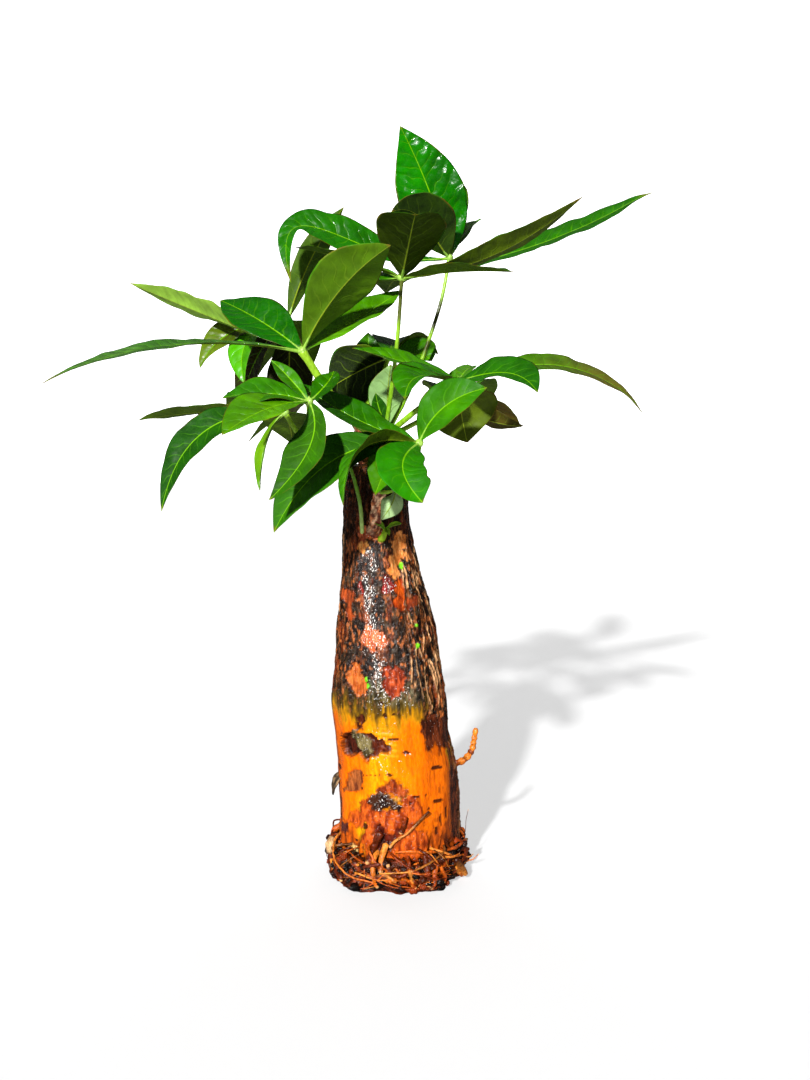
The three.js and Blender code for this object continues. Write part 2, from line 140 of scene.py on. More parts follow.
class Body:
    """Collects rings of points into one mesh, with a tint, a UV pair and leaf facts per vertex."""

    def __init__(self):
        self.grids = []
        self.count = 0

    def grid(self, points, tint, uv=None, facts=None, slot=0):
        """Rows of points, each row a ring. slot is one number, or one for each face of a ring."""
        points = np.concatenate([points[..., :2], np.maximum(points[..., 2:], 0.0)], -1)
        rows, cols = points.shape[:2]
        index = np.arange(rows * cols).reshape(rows, cols) + self.count
        index = np.hstack([index, index[:, :1]])
        quads = np.stack([index[:-1, :-1], index[:-1, 1:], index[1:, 1:], index[1:, :-1]], -1)
        tint = np.broadcast_to(tint, (rows, cols, 3))
        uv = np.zeros((rows, cols, 2)) if uv is None else uv
        facts = np.zeros((rows, cols, 3)) if facts is None else facts
        flat = [part.reshape(-1, part.shape[-1]) for part in (points, quads, tint, uv, facts)]
        self.grids.append((*flat, np.tile(np.broadcast_to(slot, cols), rows - 1)))
        self.count += rows * cols

    def piece(self, name, materials):
        points, faces, tints, uvs, facts, slots = (np.concatenate(part) for part in zip(*self.grids))
        mesh = bpy.data.meshes.new(name)
        mesh.from_pydata((points * MM).tolist(), [], faces.tolist())
        tint = mesh.color_attributes.new("tint", "FLOAT_COLOR", "POINT")
        rgba = np.hstack([np.clip(tints, 0, 1), np.ones((len(points), 1))])
        tint.data.foreach_set("color", rgba.astype(np.float32).ravel())
        leaf = mesh.attributes.new("leaf", "FLOAT_VECTOR", "POINT")
        leaf.data.foreach_set("vector", facts.astype(np.float32).ravel())
        layer = mesh.uv_layers.new(name="UVMap")
        corner = np.empty(len(mesh.loops), np.int32)
        mesh.loops.foreach_get("vertex_index", corner)
        layer.data.foreach_set("uv", uvs.astype(np.float32)[corner].ravel())
        for material in materials:
            mesh.materials.append(material)
        mesh.polygons.foreach_set("material_index", slots.astype(np.int32))
        mesh.polygons.foreach_set("use_smooth", np.ones(len(mesh.polygons), bool))
        mesh.update()
        made = put_in_scene(name, mesh)
        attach(made, "root")
        return made


def curve(points, steps, dense=24):
    """Points at even steps along the smooth curve through the given points."""
    p = np.array(points, float)
    p = np.vstack([2 * p[0] - p[1], p, 2 * p[-1] - p[-2]])
    u = np.linspace(0, 1, dense, endpoint=False)[:, None]
    path = []
    for i in range(1, len(p) - 2):
        a, b, c, d = p[i - 1:i + 3]
        ta, tb, tc = (max(np.linalg.norm(q), 1e-6) ** 0.5 for q in (b - a, c - b, d - c))
        m1 = ((b - a) / ta - (c - a) / (ta + tb) + (c - b) / tb) * tb
        m2 = ((c - b) / tb - (d - b) / (tb + tc) + (d - c) / tc) * tb
        start = (2 * u ** 3 - 3 * u ** 2 + 1) * b + (u ** 3 - 2 * u ** 2 + u) * m1
        path.append(start + (3 * u ** 2 - 2 * u ** 3) * c + (u ** 3 - u ** 2) * m2)
    path = np.vstack(path + [p[-2][None]])
    length = np.concatenate([[0], np.cumsum(np.linalg.norm(np.diff(path, axis=0), axis=1))])
    at = np.linspace(0, length[-1], steps + 1)
    return np.stack([np.interp(at, length, path[:, k]) for k in range(3)], 1)


def unit(v):
    return v / np.maximum(np.linalg.norm(v, axis=-1, keepdims=True), 1e-9)


# The ends of a stem, as shares of its radius: how far they stand out and how wide they are there
CAP_OUT = 0.45
CAP_WIDE = 0.05
# A direction that no stem starts in, from which its rings are turned
ASKEW = [0.31, 0.52, 0.79]
# Size in millimetres of the roughness of a stem
SKIN_GRAIN = 2.2


def tube(body, path, radius, tint, sides=10, slot=0, rough=0.0, seed=0):
    """A round stem along path with a radius for each point, closed at both ends."""
    n = len(path)
    radius = np.broadcast_to(radius, n).astype(float)
    tint = np.asarray(tint, float)
    if tint.ndim < 3:
        tint = np.broadcast_to(tint, (n, 3))[:, None]
    tint = np.broadcast_to(tint, (n, sides, 3))
    ahead = unit(np.gradient(path, axis=0))
    normals = np.empty_like(path)
    across = np.cross(ahead[0], ASKEW)
    for i in range(n):
        across = across - ahead[i] * np.dot(across, ahead[i])
        across = across / max(np.linalg.norm(across), 1e-9)
        normals[i] = across
    other = np.cross(ahead, normals)
    turn = np.linspace(0, 2 * math.pi, sides, endpoint=False)
    ring = np.cos(turn)[None, :, None] * normals[:, None] + np.sin(turn)[None, :, None] * other[:, None]
    points = path[:, None] + ring * radius[:, None, None]
    if rough:
        points = points + ring * (rough * (fbm(points, SKIN_GRAIN, seed) - 0.5))[..., None]
    first = path[0] - ahead[0] * radius[0] * CAP_OUT + (points[0] - path[0]) * CAP_WIDE
    last = path[-1] + ahead[-1] * radius[-1] * CAP_OUT + (points[-1] - path[-1]) * CAP_WIDE
    points = np.concatenate([first[None], points, last[None]])
    tint = np.concatenate([tint[:1], tint, tint[-1:]])
    along = np.concatenate([[0], np.cumsum(np.linalg.norm(np.diff(points.mean(1), axis=0), axis=1))])
    uv = np.stack(np.broadcast_arrays(turn[None, :], along[:, None]), -1)
    body.grid(points, tint, uv=uv, slot=slot)


def lump(body, centre, radius, tint, seed, slot=0, squash=1.0, sides=9, rings=6):
    lat = np.linspace(-math.pi / 2, math.pi / 2, rings)[:, None]
    lon = np.linspace(0, 2 * math.pi, sides, endpoint=False)[None, :]
    x = np.cos(lat) * np.cos(lon)
    y = np.cos(lat) * np.sin(lon)
    z = np.broadcast_to(np.sin(lat) * squash, x.shape)
    shape = np.stack([x, y, z], -1)
    grown = 1 + 0.7 * (noise(shape * 2.0 + seed * 3.7, 1.0, seed) - 0.5)
    body.grid(np.array(centre) + shape * (radius * grown)[..., None], tint, slot=slot)


# Materials

class Nodes:
    """Short calls that add and join shader nodes. An input is a number or another node's output."""

    def __init__(self, name):
        self.material = bpy.data.materials.new(name)
        self.material.use_nodes = True
        self.tree = self.material.node_tree
        self.shader = self.tree.nodes["Principled BSDF"]

    def put(self, target, value):
        if isinstance(value, bpy.types.NodeSocket):
            self.tree.links.new(value, target)
        else:
            target.default_value = value

    def new(self, kind, **inputs):
        node = self.tree.nodes.new(kind)
        for name, value in inputs.items():
            self.put(node.inputs[name.replace("_", " ")], value)
        return node

    def math(self, operation, *values):
        node = self.new("ShaderNodeMath")
        node.operation = operation
        for socket, value in zip(node.inputs, values):
            self.put(socket, value)
        return node.outputs[0]

    def times(self, a, b):
        return self.math("MULTIPLY", a, b)

    def plus(self, a, b):
        return self.math("ADD", a, b)

    def range(self, value, low, high, to_low=0.0, to_high=1.0):
        node = self.new("ShaderNodeMapRange", Value=value, From_Min=low, From_Max=high, To_Min=to_low,
                        To_Max=to_high)
        node.interpolation_type = "SMOOTHSTEP"
        return node.outputs[0]

    def mix(self, a, b, share, kind="MIX"):
        node = self.new("ShaderNodeMix", Factor=share)
        node.data_type = "RGBA"
        node.blend_type = kind
        for socket, value in ((node.inputs[6], a), (node.inputs[7], b)):
            self.put(socket, value if isinstance(value, bpy.types.NodeSocket) else (*value, 1))
        return node.outputs[2]

    def attribute(self, name, output="Color"):
        node = self.new("ShaderNodeAttribute")
        node.attribute_name = name
        return node.outputs[output]

    def shaded(self, shade):
        """The mesh's own tint, made darker or lighter by shade."""
        grey = self.new("ShaderNodeCombineXYZ", X=shade, Y=shade, Z=shade).outputs[0]
        return self.mix(self.attribute("tint"), grey, 1.0, "MULTIPLY")

    def place(self, stretch=(1, 1, 1)):
        where = self.new("ShaderNodeTexCoord").outputs["Object"]
        return self.new("ShaderNodeMapping", Vector=where, Scale=stretch).outputs[0]

    def noise(self, size, place, detail=3.0):
        """Noise with features of about size millimetres."""
        return self.new("ShaderNodeTexNoise", Vector=place, Scale=1000 / size, Detail=detail).outputs[0]

    def cells(self, size, place):
        node = self.new("ShaderNodeTexVoronoi", Vector=place, Scale=1000 / size)
        node.feature = "DISTANCE_TO_EDGE"
        return node.outputs[0]

    def parts(self, vector):
        return self.new("ShaderNodeSeparateXYZ", Vector=vector).outputs[:3]

    def bump(self, height, depth):
        """Bump whose height 0 to 1 is depth millimetres."""
        node = self.new("ShaderNodeBump", Strength=1.0, Distance=depth * MM, Height=height)
        self.put(self.shader.inputs["Normal"], node.outputs[0])

    def finish(self, colour, roughness, **constants):
        self.put(self.shader.inputs["Base Color"], colour)
        self.put(self.shader.inputs["Roughness"], roughness)
        for name, value in constants.items():
            self.shader.inputs[name.replace("_", " ")].default_value = value
        return self.material


def bark_material():
    """Wet bark. The mesh says how coarse it is and how much painted glint it carries in its colour."""
    n = Nodes("wet_bark")
    coarse, glint, _ = n.parts(n.attribute("leaf", "Vector"))
    grain = n.noise(0.8, n.place((1, 1, 0.3)))
    pits = n.noise(1.5, n.place())
    spread = n.plus(n.times(coarse, 0.6), 0.3)
    shade = n.times(n.range(grain, 0.3, 0.72, -0.5, 0.6), spread)
    # painted highlight: white specks of glint mixed into the colour, more where the glint fact is high
    glint_specks = n.noise(0.5, n.place((1, 1, 0.5)), 2.0)
    limit = n.math("SUBTRACT", 0.78, n.times(glint, 0.24))
    white = n.range(n.math("SUBTRACT", glint_specks, limit), 0.0, 0.06)
    colour = n.mix(n.shaded(n.plus(shade, 1.0)), WATER_GLINT, white)
    rough = n.range(pits, 0.35, 0.65, 0.08, n.plus(n.times(coarse, 0.18), 0.18))
    n.bump(n.times(n.plus(n.times(grain, 0.7), pits), n.plus(n.times(coarse, 0.6), 0.4)), 0.9)
    return n.finish(colour, rough, Specular_IOR_Level=0.22)


def rough_material(name, size, depth, rough):
    """A tinted natural surface with noise in its colour, roughness and height."""
    n = Nodes(name)
    place = n.place()
    coarse = n.noise(size * 3.5, place)
    height = n.plus(n.noise(size, place), coarse)
    colour = n.shaded(n.range(height, 0.65, 1.35, 0.45, 1.5))
    n.bump(height, depth)
    return n.finish(colour, n.range(coarse, 0.3, 0.7, rough - 0.12, rough + 0.12), Specular_IOR_Level=0.3)


# Side veins of a leaflet: millimetres from one to the next, and how steeply they run to the tip
VEIN_SPACING = 6.2
VEIN_SLANT = 0.8
# Half width of the midrib at its foot, in millimetres, and the share of it that is lost to the tip
MIDRIB = 0.68
MIDRIB_TAPER = 0.75


def leaf_material(name, vein, rib, rough, specular, depth, raised):
    """One face of the leaflets: midrib, side veins and fine cells from the leaf's own places."""
    n = Nodes(name)
    across, along, _ = n.parts(n.new("ShaderNodeTexCoord").outputs["UV"])
    edge, share, dull = n.parts(n.attribute("leaf", "Vector"))
    off = n.math("ABSOLUTE", across)
    place = n.place()
    mottle = n.noise(7, place)
    beat = n.math("DIVIDE", n.math("SUBTRACT", along, n.times(off, VEIN_SLANT)), VEIN_SPACING)
    beat = n.plus(beat, n.times(n.noise(9, place, 1.0), 1.5))
    near = n.times(n.math("PINGPONG", beat, 0.5), VEIN_SPACING)
    line = n.times(n.range(near, 0.5, 0.1), n.range(edge, 0.95, 0.3))
    width = n.times(n.math("SUBTRACT", 1.0, n.times(share, MIDRIB_TAPER)), MIDRIB)
    middle = n.range(off, width, n.times(width, 0.35))
    colour = n.shaded(n.range(mottle, 0.3, 0.7, 0.82, 1.16))
    net = n.range(n.cells(1.5, place), 0.08, 0.0)
    for paint, mask, strength in ((vein, net, 0.1), (vein, line, 0.32), (rib, middle, 0.85)):
        colour = n.mix(colour, paint, n.times(mask, strength))
    height = n.times(n.times(n.plus(line, middle), 0.5), raised)
    quilt = n.range(near, 0.0, VEIN_SPACING * 0.5)
    for part, strength in ((quilt, 0.5), (mottle, 0.8), (n.noise(2.2, place), 0.35)):
        height = n.plus(height, n.times(part, strength))
    n.bump(n.times(height, n.range(dull, 0.0, 2.5, 1.0, 0.4)), depth)
    gloss = n.range(n.noise(3.2, place), 0.35, 0.65, rough - 0.1, rough + 0.14)
    return n.finish(colour, n.plus(gloss, n.times(dull, 0.16)), Specular_IOR_Level=specular)


def stalk_material():
    n = Nodes("green_stalk")
    streaks = n.noise(0.9, n.place((1, 1, 0.25)))
    n.bump(streaks, 0.15)
    colour = n.shaded(n.range(streaks, 0.3, 0.7, 0.78, 1.2))
    return n.finish(colour, n.range(streaks, 0.3, 0.7, 0.3, 0.45), Specular_IOR_Level=0.35)


# the colour of the painted highlights, glints on the wet bark
WATER_GLINT = (0.8, 0.76, 0.7)
VEIN_GREEN = lin(84, 160, 2)
RIB_GREEN = lin(122, 192, 6)
BARK = bark_material()
SOIL = rough_material("wet_soil", 1.1, 1.2, 0.2)
ROOT = rough_material("wet_root", 1.0, 0.6, 0.3)
WOOD = rough_material("old_wood", 0.9, 0.6, 0.5)
STALK = stalk_material()
LEAF_TOP = leaf_material("leaf_top", VEIN_GREEN, RIB_GREEN, 0.17, 0.25, 0.6, -0.6)
LEAF_MATT = leaf_material("leaf_matt", VEIN_GREEN, RIB_GREEN, 0.2, 0.1, 0.5, -0.6)
LEAF_UNDER = leaf_material("leaf_under", lin(104, 134, 20), lin(140, 160, 30), 0.42, 0.12, 0.4, 0.9)
# The slots of a leaf: glossy top, underside, stalk, matt top
LEAF_SLOTS = [LEAF_TOP, LEAF_UNDER, STALK, LEAF_MATT]
UNDER_SLOT = 1
STALK_SLOT = 2
MATT_SLOT = 3

# The CAD's own numbers

TRUNK_FOOT_Z = 4
TRUNK_TOP_Z = 208
CLOD_TOP_Z = 15
# Heights of the trunk, each with how far its middle lies along X and how thick it is from there
TRUNK_OUTLINE = [(4, 0, 25), (10, 0, 29), (17, 0, 30.6), (37, 0, 30), (58, -1.5, 28.8), (74, -4, 28.4),
    (88, -5.5, 28.4), (105, -6.2, 27), (119, -7, 25.5), (139, -8.6, 22.8), (155, -10, 20.4),
    (168, -11.3, 18.2), (178, -12, 16.9), (204, -11.8, 16.4), (208, -11.8, 14.5)]


def trunk_at(z):
    """The X of the trunk's middle and its radius at height z."""
    table = np.array(TRUNK_OUTLINE, float)
    i = np.clip(np.searchsorted(table[:, 0], z, side="left") - 1, 0, len(table) - 2)
    low, high = table[i], table[i + 1]
    share = np.clip((z - low[..., 0]) / (high[..., 0] - low[..., 0]), 0, 1)
    eased = (share + share * share * (3 - 2 * share)) / 2
    return mix(low[..., 1], high[..., 1], share), mix(low[..., 2], high[..., 2], eased)


def bark_relief(a, z):
    """How far the CAD's bark stands out at angle a and height z."""
    ribs = 0.45 * np.sin(9 * a + 1.3 * np.sin(z / 19)) + 0.3 * np.sin(13 * a - z / 21)
    rings = 0.35 * np.sin(z / 6.5 + 2 * np.sin(a))
    return ribs + rings + 0.8 * np.sin(2 * a + z / 37) + 0.5 * np.sin(3 * a - z / 29)


def clod_radius(a, z):
    lumps = 1.6 * np.sin(5 * a + 0.6) + 1.1 * np.sin(11 * a + z / 3)
    front = 2.5 * np.maximum(0, np.cos(a + 1.35)) - 2.6 * np.cos(a)
    return 34.5 + lumps + front - 4 * np.abs(z / CLOD_TOP_Z - 0.4) ** 2


# Trunk

# Ragged patches: colour, second colour, depth, sparkle, outline as angles and heights. The angles
# are in degrees, and -90 is the front.
PATCHES = [
    # upper orange patch, lighter than its own orange as painted light, as if sunlit under the leaves
    ((246, 158, 84), (216, 122, 52), 0.4, 0.1, [(-53, 175.6), (-24, 174.7), (-19, 172.2), (-37, 170.4),
        (-35, 168.3), (-44, 166.6), (-30, 163.7), (-37, 160.7), (-45, 160.6), (-48, 162.9), (-54, 159.6),
        (-61, 158.9), (-57, 156.2), (-63, 153.4), (-70, 152.3), (-74, 154), (-77, 157.2), (-73, 159.6),
        (-78, 161.4), (-74, 163.9), (-65, 167.1), (-72, 168.2), (-69, 171.6), (-60, 172.9)]),
    # small orange patch, lighter than its own orange as painted light, as if sunlit under the leaves
    ((255, 172, 88), (224, 124, 52), 0.3, 0.2, [(-120, 170), (-108, 171.6), (-101, 170.2), (-100, 168.3),
        (-108, 167.2), (-112, 165.3), (-119, 165.6), (-123, 167.2)]),
    # reddish knots under the shoots
    ((236, 128, 76), (160, 70, 42), 0.4, 0.5, [(-125, 173.2), (-117, 177.6), (-110, 176.2), (-103, 178),
        (-94, 176.6), (-86, 178.2), (-77, 176.4), (-72, 173.6), (-79, 171.2), (-88, 169.2), (-93, 171.8),
        (-99, 172.8), (-107, 173), (-118, 172.4)]),
    # red under orange
    ((206, 84, 18), (150, 48, 12), 0.4, 0.1, [(-70, 152.3), (-64, 153.6), (-57, 152.5), (-58, 149.6),
        (-57, 146.2), (-60, 143.4), (-60, 140), (-65, 136.3), (-68, 133.2), (-69, 136.4), (-70, 139.3),
        (-75, 140.4), (-76, 143.3), (-72, 146.1), (-75, 148.6)]),
    # red blotch
    ((150, 30, 24), (96, 20, 16), 0.2, 0.8, [(-81, 154.7), (-74, 153.1), (-72, 149.5), (-78, 146.4),
        (-87, 147), (-91, 149.1), (-85, 151.2)]),
    # red blotch left
    ((140, 34, 26), (90, 24, 18), 0.2, 0.7, [(-121, 151.6), (-114, 152.2), (-110, 149.9), (-113, 147),
        (-118, 147.8)]),
    # salmon patch
    ((222, 128, 82), (186, 84, 42), 0.45, 0.8, [(-122, 124.3), (-117, 127.5), (-113, 130.6),
        (-106, 132.2), (-99, 130.4), (-96, 127.6), (-89, 126.6), (-86, 124.2), (-87, 120.2), (-94, 119.4),
        (-100, 120.8), (-104, 118.1), (-110, 120.1), (-118, 121.1), (-122, 122.5)]),
    # low orange patch
    ((206, 112, 50), (166, 74, 24), 0.45, 0.3, [(-133, 109.9), (-127, 112.5), (-122, 111.8),
        (-118, 108.1), (-114, 104.4), (-112, 100.6), (-114, 97.5), (-122, 95), (-128, 96.7),
        (-133, 100.3), (-136, 104)]),
    # low red patch
    ((196, 80, 36), (120, 38, 18), 0.4, 0.4, [(-95, 110.7), (-88, 112.2), (-82, 110.7), (-74, 108.6),
        (-71, 104.6), (-73, 99.8), (-78, 96), (-86, 95), (-92, 97.2), (-96, 100), (-92, 104.9)]),
    # rusty patch
    ((178, 76, 32), (120, 50, 24), 0.3, 0.1, [(-156, 146.6), (-139, 149), (-127, 146.5), (-125, 142.8),
        (-131, 138.6), (-128, 134.8), (-136, 132.2), (-145, 135.9), (-142, 140), (-158, 141.2)]),
    # rusty patch right
    ((160, 66, 28), (110, 42, 20), 0.3, 0.1, [(-54, 143.5), (-40, 143.8), (-40, 141.1), (-50, 139.4),
        (-58, 136.8), (-59, 140.5)]),
    # cavity
    ((110, 44, 16), (62, 20, 10), 2.3, 0.1, [(-155, 74.1), (-138, 75.7), (-127, 75.6), (-118, 77.2),
        (-106, 76.7), (-99, 74.3), (-94, 70.3), (-98, 68.9), (-105, 68.4), (-110, 66.3), (-121, 63.7),
        (-126, 64.5), (-130, 67), (-139, 66), (-149, 65.3), (-156, 69.5)]),
    # cavity's dark end
    ((34, 12, 8), (70, 26, 14), 2.5, 0.2, [(-155, 74.1), (-138, 75.7), (-129, 75.3), (-132, 71.1),
        (-129, 67), (-139, 65.8), (-149, 65.3), (-156, 69.5)]),
    # notch
    ((84, 34, 16), (44, 16, 10), 1.2, 0.1, [(-125, 83.8), (-119, 85.7), (-117, 83.8), (-119, 81),
        (-117, 78.7), (-122, 77.9), (-128, 79.2), (-130, 80.9)]),
    # bark across the cavity
    ((126, 112, 70), (62, 52, 30), -0.2, 0.5, [(-133, 77.6), (-128, 77.2), (-122, 75.8), (-118, 73.9),
        (-113, 72), (-114, 69.1), (-119, 66.6), (-126, 64.9), (-126, 68.4), (-132, 69), (-133, 72.2),
        (-134, 74.8)]),
    # brown patch right
    ((104, 46, 20), (60, 24, 12), 0.5, 0.3, [(-56, 83.3), (-45, 84.3), (-10, 81.3), (-11, 72.1),
        (-23, 67.9), (-35, 67.8), (-41, 69.9), (-49, 67.1), (-54, 69.5), (-57, 74.1), (-59, 78.7)]),
    # brown right edge
    ((112, 54, 28), (58, 24, 14), 0.1, 0.2, [(-27, 69.8), (-17, 66), (-16, 58.2), (-10, 49.4), (-10, 38),
        (-10, 26.6), (-14, 18.1), (-28, 19.6), (-29, 29.9), (-30, 41.3), (-30, 50.2), (-29, 59)]),
    # brown patch left
    ((158, 84, 38), (104, 48, 24), 0.3, 0.1, [(-138, 57.3), (-130, 57.7), (-129, 52.8), (-128, 50.8),
        (-135, 46.6), (-146, 45), (-154, 45.8), (-148, 49.4), (-145, 53.1)]),
    # peak
    ((172, 74, 26), (116, 40, 14), 0.4, 0.3, [(-94, 56.5), (-89, 54.9), (-85, 51.6), (-81, 49.4),
        (-82, 47), (-89, 46.1), (-95, 47.1), (-101, 48), (-108, 47.8), (-110, 48.9), (-106, 51.8),
        (-101, 54.1)]),
    # wedge
    ((190, 130, 46), (140, 92, 34), 0.1, 0.3, [(-102, 47.4), (-88, 46), (-91, 43.1), (-98, 42.8),
        (-102, 45)]),
    # brown body
    ((206, 88, 22), (136, 46, 12), 0.3, 0.25, [(-122, 47), (-117, 45.2), (-108, 41.5), (-100, 40.5),
        (-90, 40.9), (-86, 44.1), (-80, 47.4), (-74, 47.2), (-69, 43.5), (-66, 39), (-69, 34.8),
        (-75, 30.8), (-72, 28.4), (-67, 30.3), (-62, 23.2), (-61, 12.8), (-124, 11), (-125, 18.1),
        (-128, 23.3), (-125, 29.1), (-124, 32.3), (-130, 30.5), (-140, 29.2), (-147, 30.5), (-144, 34.5),
        (-135, 37.9), (-130, 42.8)]),
    # crust
    ((66, 36, 22), (30, 14, 10), -0.3, 0.6, [(-120, 46.1), (-108, 47.4), (-100, 46.7), (-95, 44.1),
        (-88, 43.1), (-91, 39.6), (-100, 40.5), (-109, 39.1), (-118, 40.6), (-122, 42.6)]),
    # dark wedge
    ((96, 28, 14), (54, 14, 8), 0.8, 0.3, [(-115, 29), (-109, 32.7), (-106, 28.5), (-96, 27.8),
        (-92, 30.2), (-95, 22.3), (-104, 16.5), (-113, 12.1), (-118, 16), (-112, 23.8)]),
    # maroon edge
    ((84, 40, 34), (48, 22, 16), 0.3, 0.1, [(-170, 41.4), (-163, 39.3), (-163, 32.4), (-153, 28.4),
        (-147, 25), (-153, 22.9), (-167, 25.9), (-170, 34.6)]),
    # pale scar
    ((236, 196, 124), (206, 150, 80), 0.3, 0.1, [(-145, 19.2), (-136, 18.6), (-131, 15.9), (-135, 13.2),
        (-143, 14), (-147, 16.9)]),
]

# Dark marks across the lower bark: angle, height, half width, half height
MARKS = [(-88, 75.3, 3.3, 0.9), (-77, 68.6, 1.9, 0.8), (-98, 57.5, 1.9, 0.7), (-126, 55.9, 0.7, 0.6),
    (-122, 56.2, 0.5, 0.5), (-117, 56.8, 0.5, 0.6), (-112, 57, 0.6, 0.5), (-108, 57.1, 0.6, 0.5),
    (-129, 49, 0.6, 0.5), (-47, 59.2, 3.6, 1.1), (-48, 42.6, 3.2, 1.1), (-62, 46.7, 0.6, 0.5),
    (-60, 39.5, 0.8, 0.5), (-94, 87.1, 1.3, 1.1), (-85, 87.6, 0.9, 0.7), (-97, 92.9, 1, 1),
    (-125, 30.5, 1.9, 1.5), (-150, 26.7, 1.3, 1.1), (-136, 22.3, 1.6, 0.8), (-86, 35.5, 1, 1.7),
    (-72, 46.6, 1.8, 0.6), (-79, 43.4, 0.7, 1.2), (-47, 32.6, 0.6, 3.4), (-40, 36, 0.7, 3.8),
    (-52, 27.7, 0.7, 2.5)]
# Flecks of moss: angle, height, size
SPECKS = [(-54.4, 159.2, 1.6), (-48.8, 130.3, 1.1), (-52.4, 120.3, 1.5), (-112.4, 104.6, 1.3),
    (-110.6, 101.6, 1.5)]
# How many splits and small marks the bark has, and how many of the splits are at the front
SPLITS = 46
FRONT_SPLITS = 28
SMALL_MARKS = 46


def bark(a, z):
    """Height over the CAD's trunk, colour, and facts for the material, at angle a and height z."""
    degrees = np.degrees(a)
    space = np.stack([28 * np.cos(a), 28 * np.sin(a), z], -1)
    warp = fbm(space, 5.0, 11) - 0.5
    wide = fbm(space, (14, 14, 22), 12) - 0.5
    fine = fbm(space, 1.6, 13, 2)
    radius = trunk_at(z)[1]

    def patchy(low, high, size, seed, octaves=3):
        """Where noise of this size in millimetres rises from low to high."""
        return step(low, high, fbm(space, size, seed, octaves))

    def lines(low, size, seed):
        return step(low, 0.95, ridge(space, size, seed))

    def off(degree):
        return np.abs(degrees - degree)

    def aside(degree):
        """Millimetres round the bark from the given angle."""
        return np.radians((degrees - degree + 180) % 360 - 180) * radius

    def inside(degree, height, half_wide, half_high, ragged):
        """1 inside a ragged oval, 0 outside it."""
        away = np.hypot(aside(degree) / half_wide, (z - height) / half_high)
        return step(1.04, 0.94, away + ragged * (1.3 * warp + 1.1 * (fine - 0.5)))

    def within(outline):
        """How many millimetres inside a ragged outline of angles and heights; below 0 outside it."""
        first, height = outline[0]
        width = math.radians(1) * float(trunk_at(np.array(height, float))[1])
        x = ((degrees - first + 180) % 360 - 180) * width
        corners = [((degree - first) * width, height) for degree, height in outline]
        away = np.full(z.shape, 99.0)
        odd = np.zeros(z.shape, bool)
        for (x1, z1), (x2, z2) in zip(corners, corners[1:] + corners[:1]):
            dx, dz = x2 - x1, z2 - z1
            along = ((x - x1) * dx + (z - z1) * dz) / (dx ** 2 + dz ** 2 + 1e-9)
            along = np.clip(along, 0, 1)
            away = np.minimum(away, np.hypot(x - x1 - along * dx, z - z1 - along * dz))
            if dz:
                odd ^= ((z1 > z) != (z2 > z)) & (x < x1 + (z - z1) * dx / dz)
        return np.where(odd, away, -away) + 5.0 * warp + 4.0 * (fine - 0.5)

    # upper bark: dark, split along the grain, tan on the lips of the splits
    blotch = patchy(0.52, 0.66, (4.5, 4.5, 9), 14)
    rusty = patchy(0.5, 0.7, (8, 8, 14), 15)
    side = np.maximum(step(30, 12, off(-40)), step(20, 6, off(-150)) * 0.6)
    lips = lines(0.86, (2.9, 2.9, 19), 17)
    cracks = lines(0.8, (2.0, 2.0, 9), 18)
    seams = np.zeros_like(z)
    shadows = np.zeros_like(z)
    for k in range(SPLITS):
        degree = pick(-66, -4, k, 51) if k < FRONT_SPLITS else pick(-182, 160, k, 51)
        middle = pick(92, 165, k, 52)
        half_long = mix(5, 26, scatter(k, 53) ** 1.5)
        wander = 1.9 * np.sin(z / 4.3 + k) + 1.4 * np.sin(z / 9.7 + 2 * k) - 0.06 * (z - middle)
        away = aside(degree + wander)
        ends = step(half_long, half_long - 3, np.abs(z - middle))
        broad = pick(0.16, 0.42, k, 54) * (0.5 + fine)
        seams = np.maximum(seams, step(broad + 0.3, broad - 0.1, np.abs(away)) * ends)
        shadows = np.maximum(shadows, step(0.9, 0.3, np.abs(away - 0.9)) * ends)
    unsplit = step(36, 22, off(-102))
    seams = seams * (1 - unsplit) * step(0.25, 0.5, noise(space, (2, 2, 3), 55))
    shadows = shadows * (1 - unsplit)
    # painted highlight: a streak of glints down the front, where the key light catches the wet bark
    clear = degrees + 103 - 14 * step(120, 90, z) + 16 * warp
    glint = 0.75 * step(22, 2, np.abs(clear)) * (0.7 + 0.6 * patchy(0.45, 0.6, (3, 3, 7), 57))
    glint = np.maximum(glint, 0.22 * step(60, 20, off(-98))) * step(84, 96, z) * step(176, 166, z)
    colour = layers(
        two_tones((26, 13, 7), (60, 44, 28), patchy(0.45, 0.65, (2, 2, 4), 16)),
        ((92, 38, 14), blotch * 0.85),
        ((156, 66, 22), rusty * blotch * 0.75),
        ((204, 112, 54), 0.7 * patchy(0.61, 0.68, (1.2, 1.2, 2.2), 26, 2)),
        ((12, 6, 4), cracks * 0.75),
        ((206, 120, 62), lips * (0.1 + 0.3 * side) * patchy(0.35, 0.55, 7, 19)),
        ((10, 5, 4), shadows * 0.85),
        ((240, 178, 122), seams),
        # painted shade: the neck above 168 mm made darker, where the leaves above shade it
        ((30, 14, 9), step(168, 176, z) * 0.65),
        # painted highlight: a grey sheen over the glints
        ((84, 80, 80), 0.35 * glint))
    height = -0.55 * cracks + 0.35 * lips * side + 0.8 * (fbm(space, (2, 2, 3.5), 20) - 0.5)
    height = height + 0.45 * seams - 0.5 * shadows

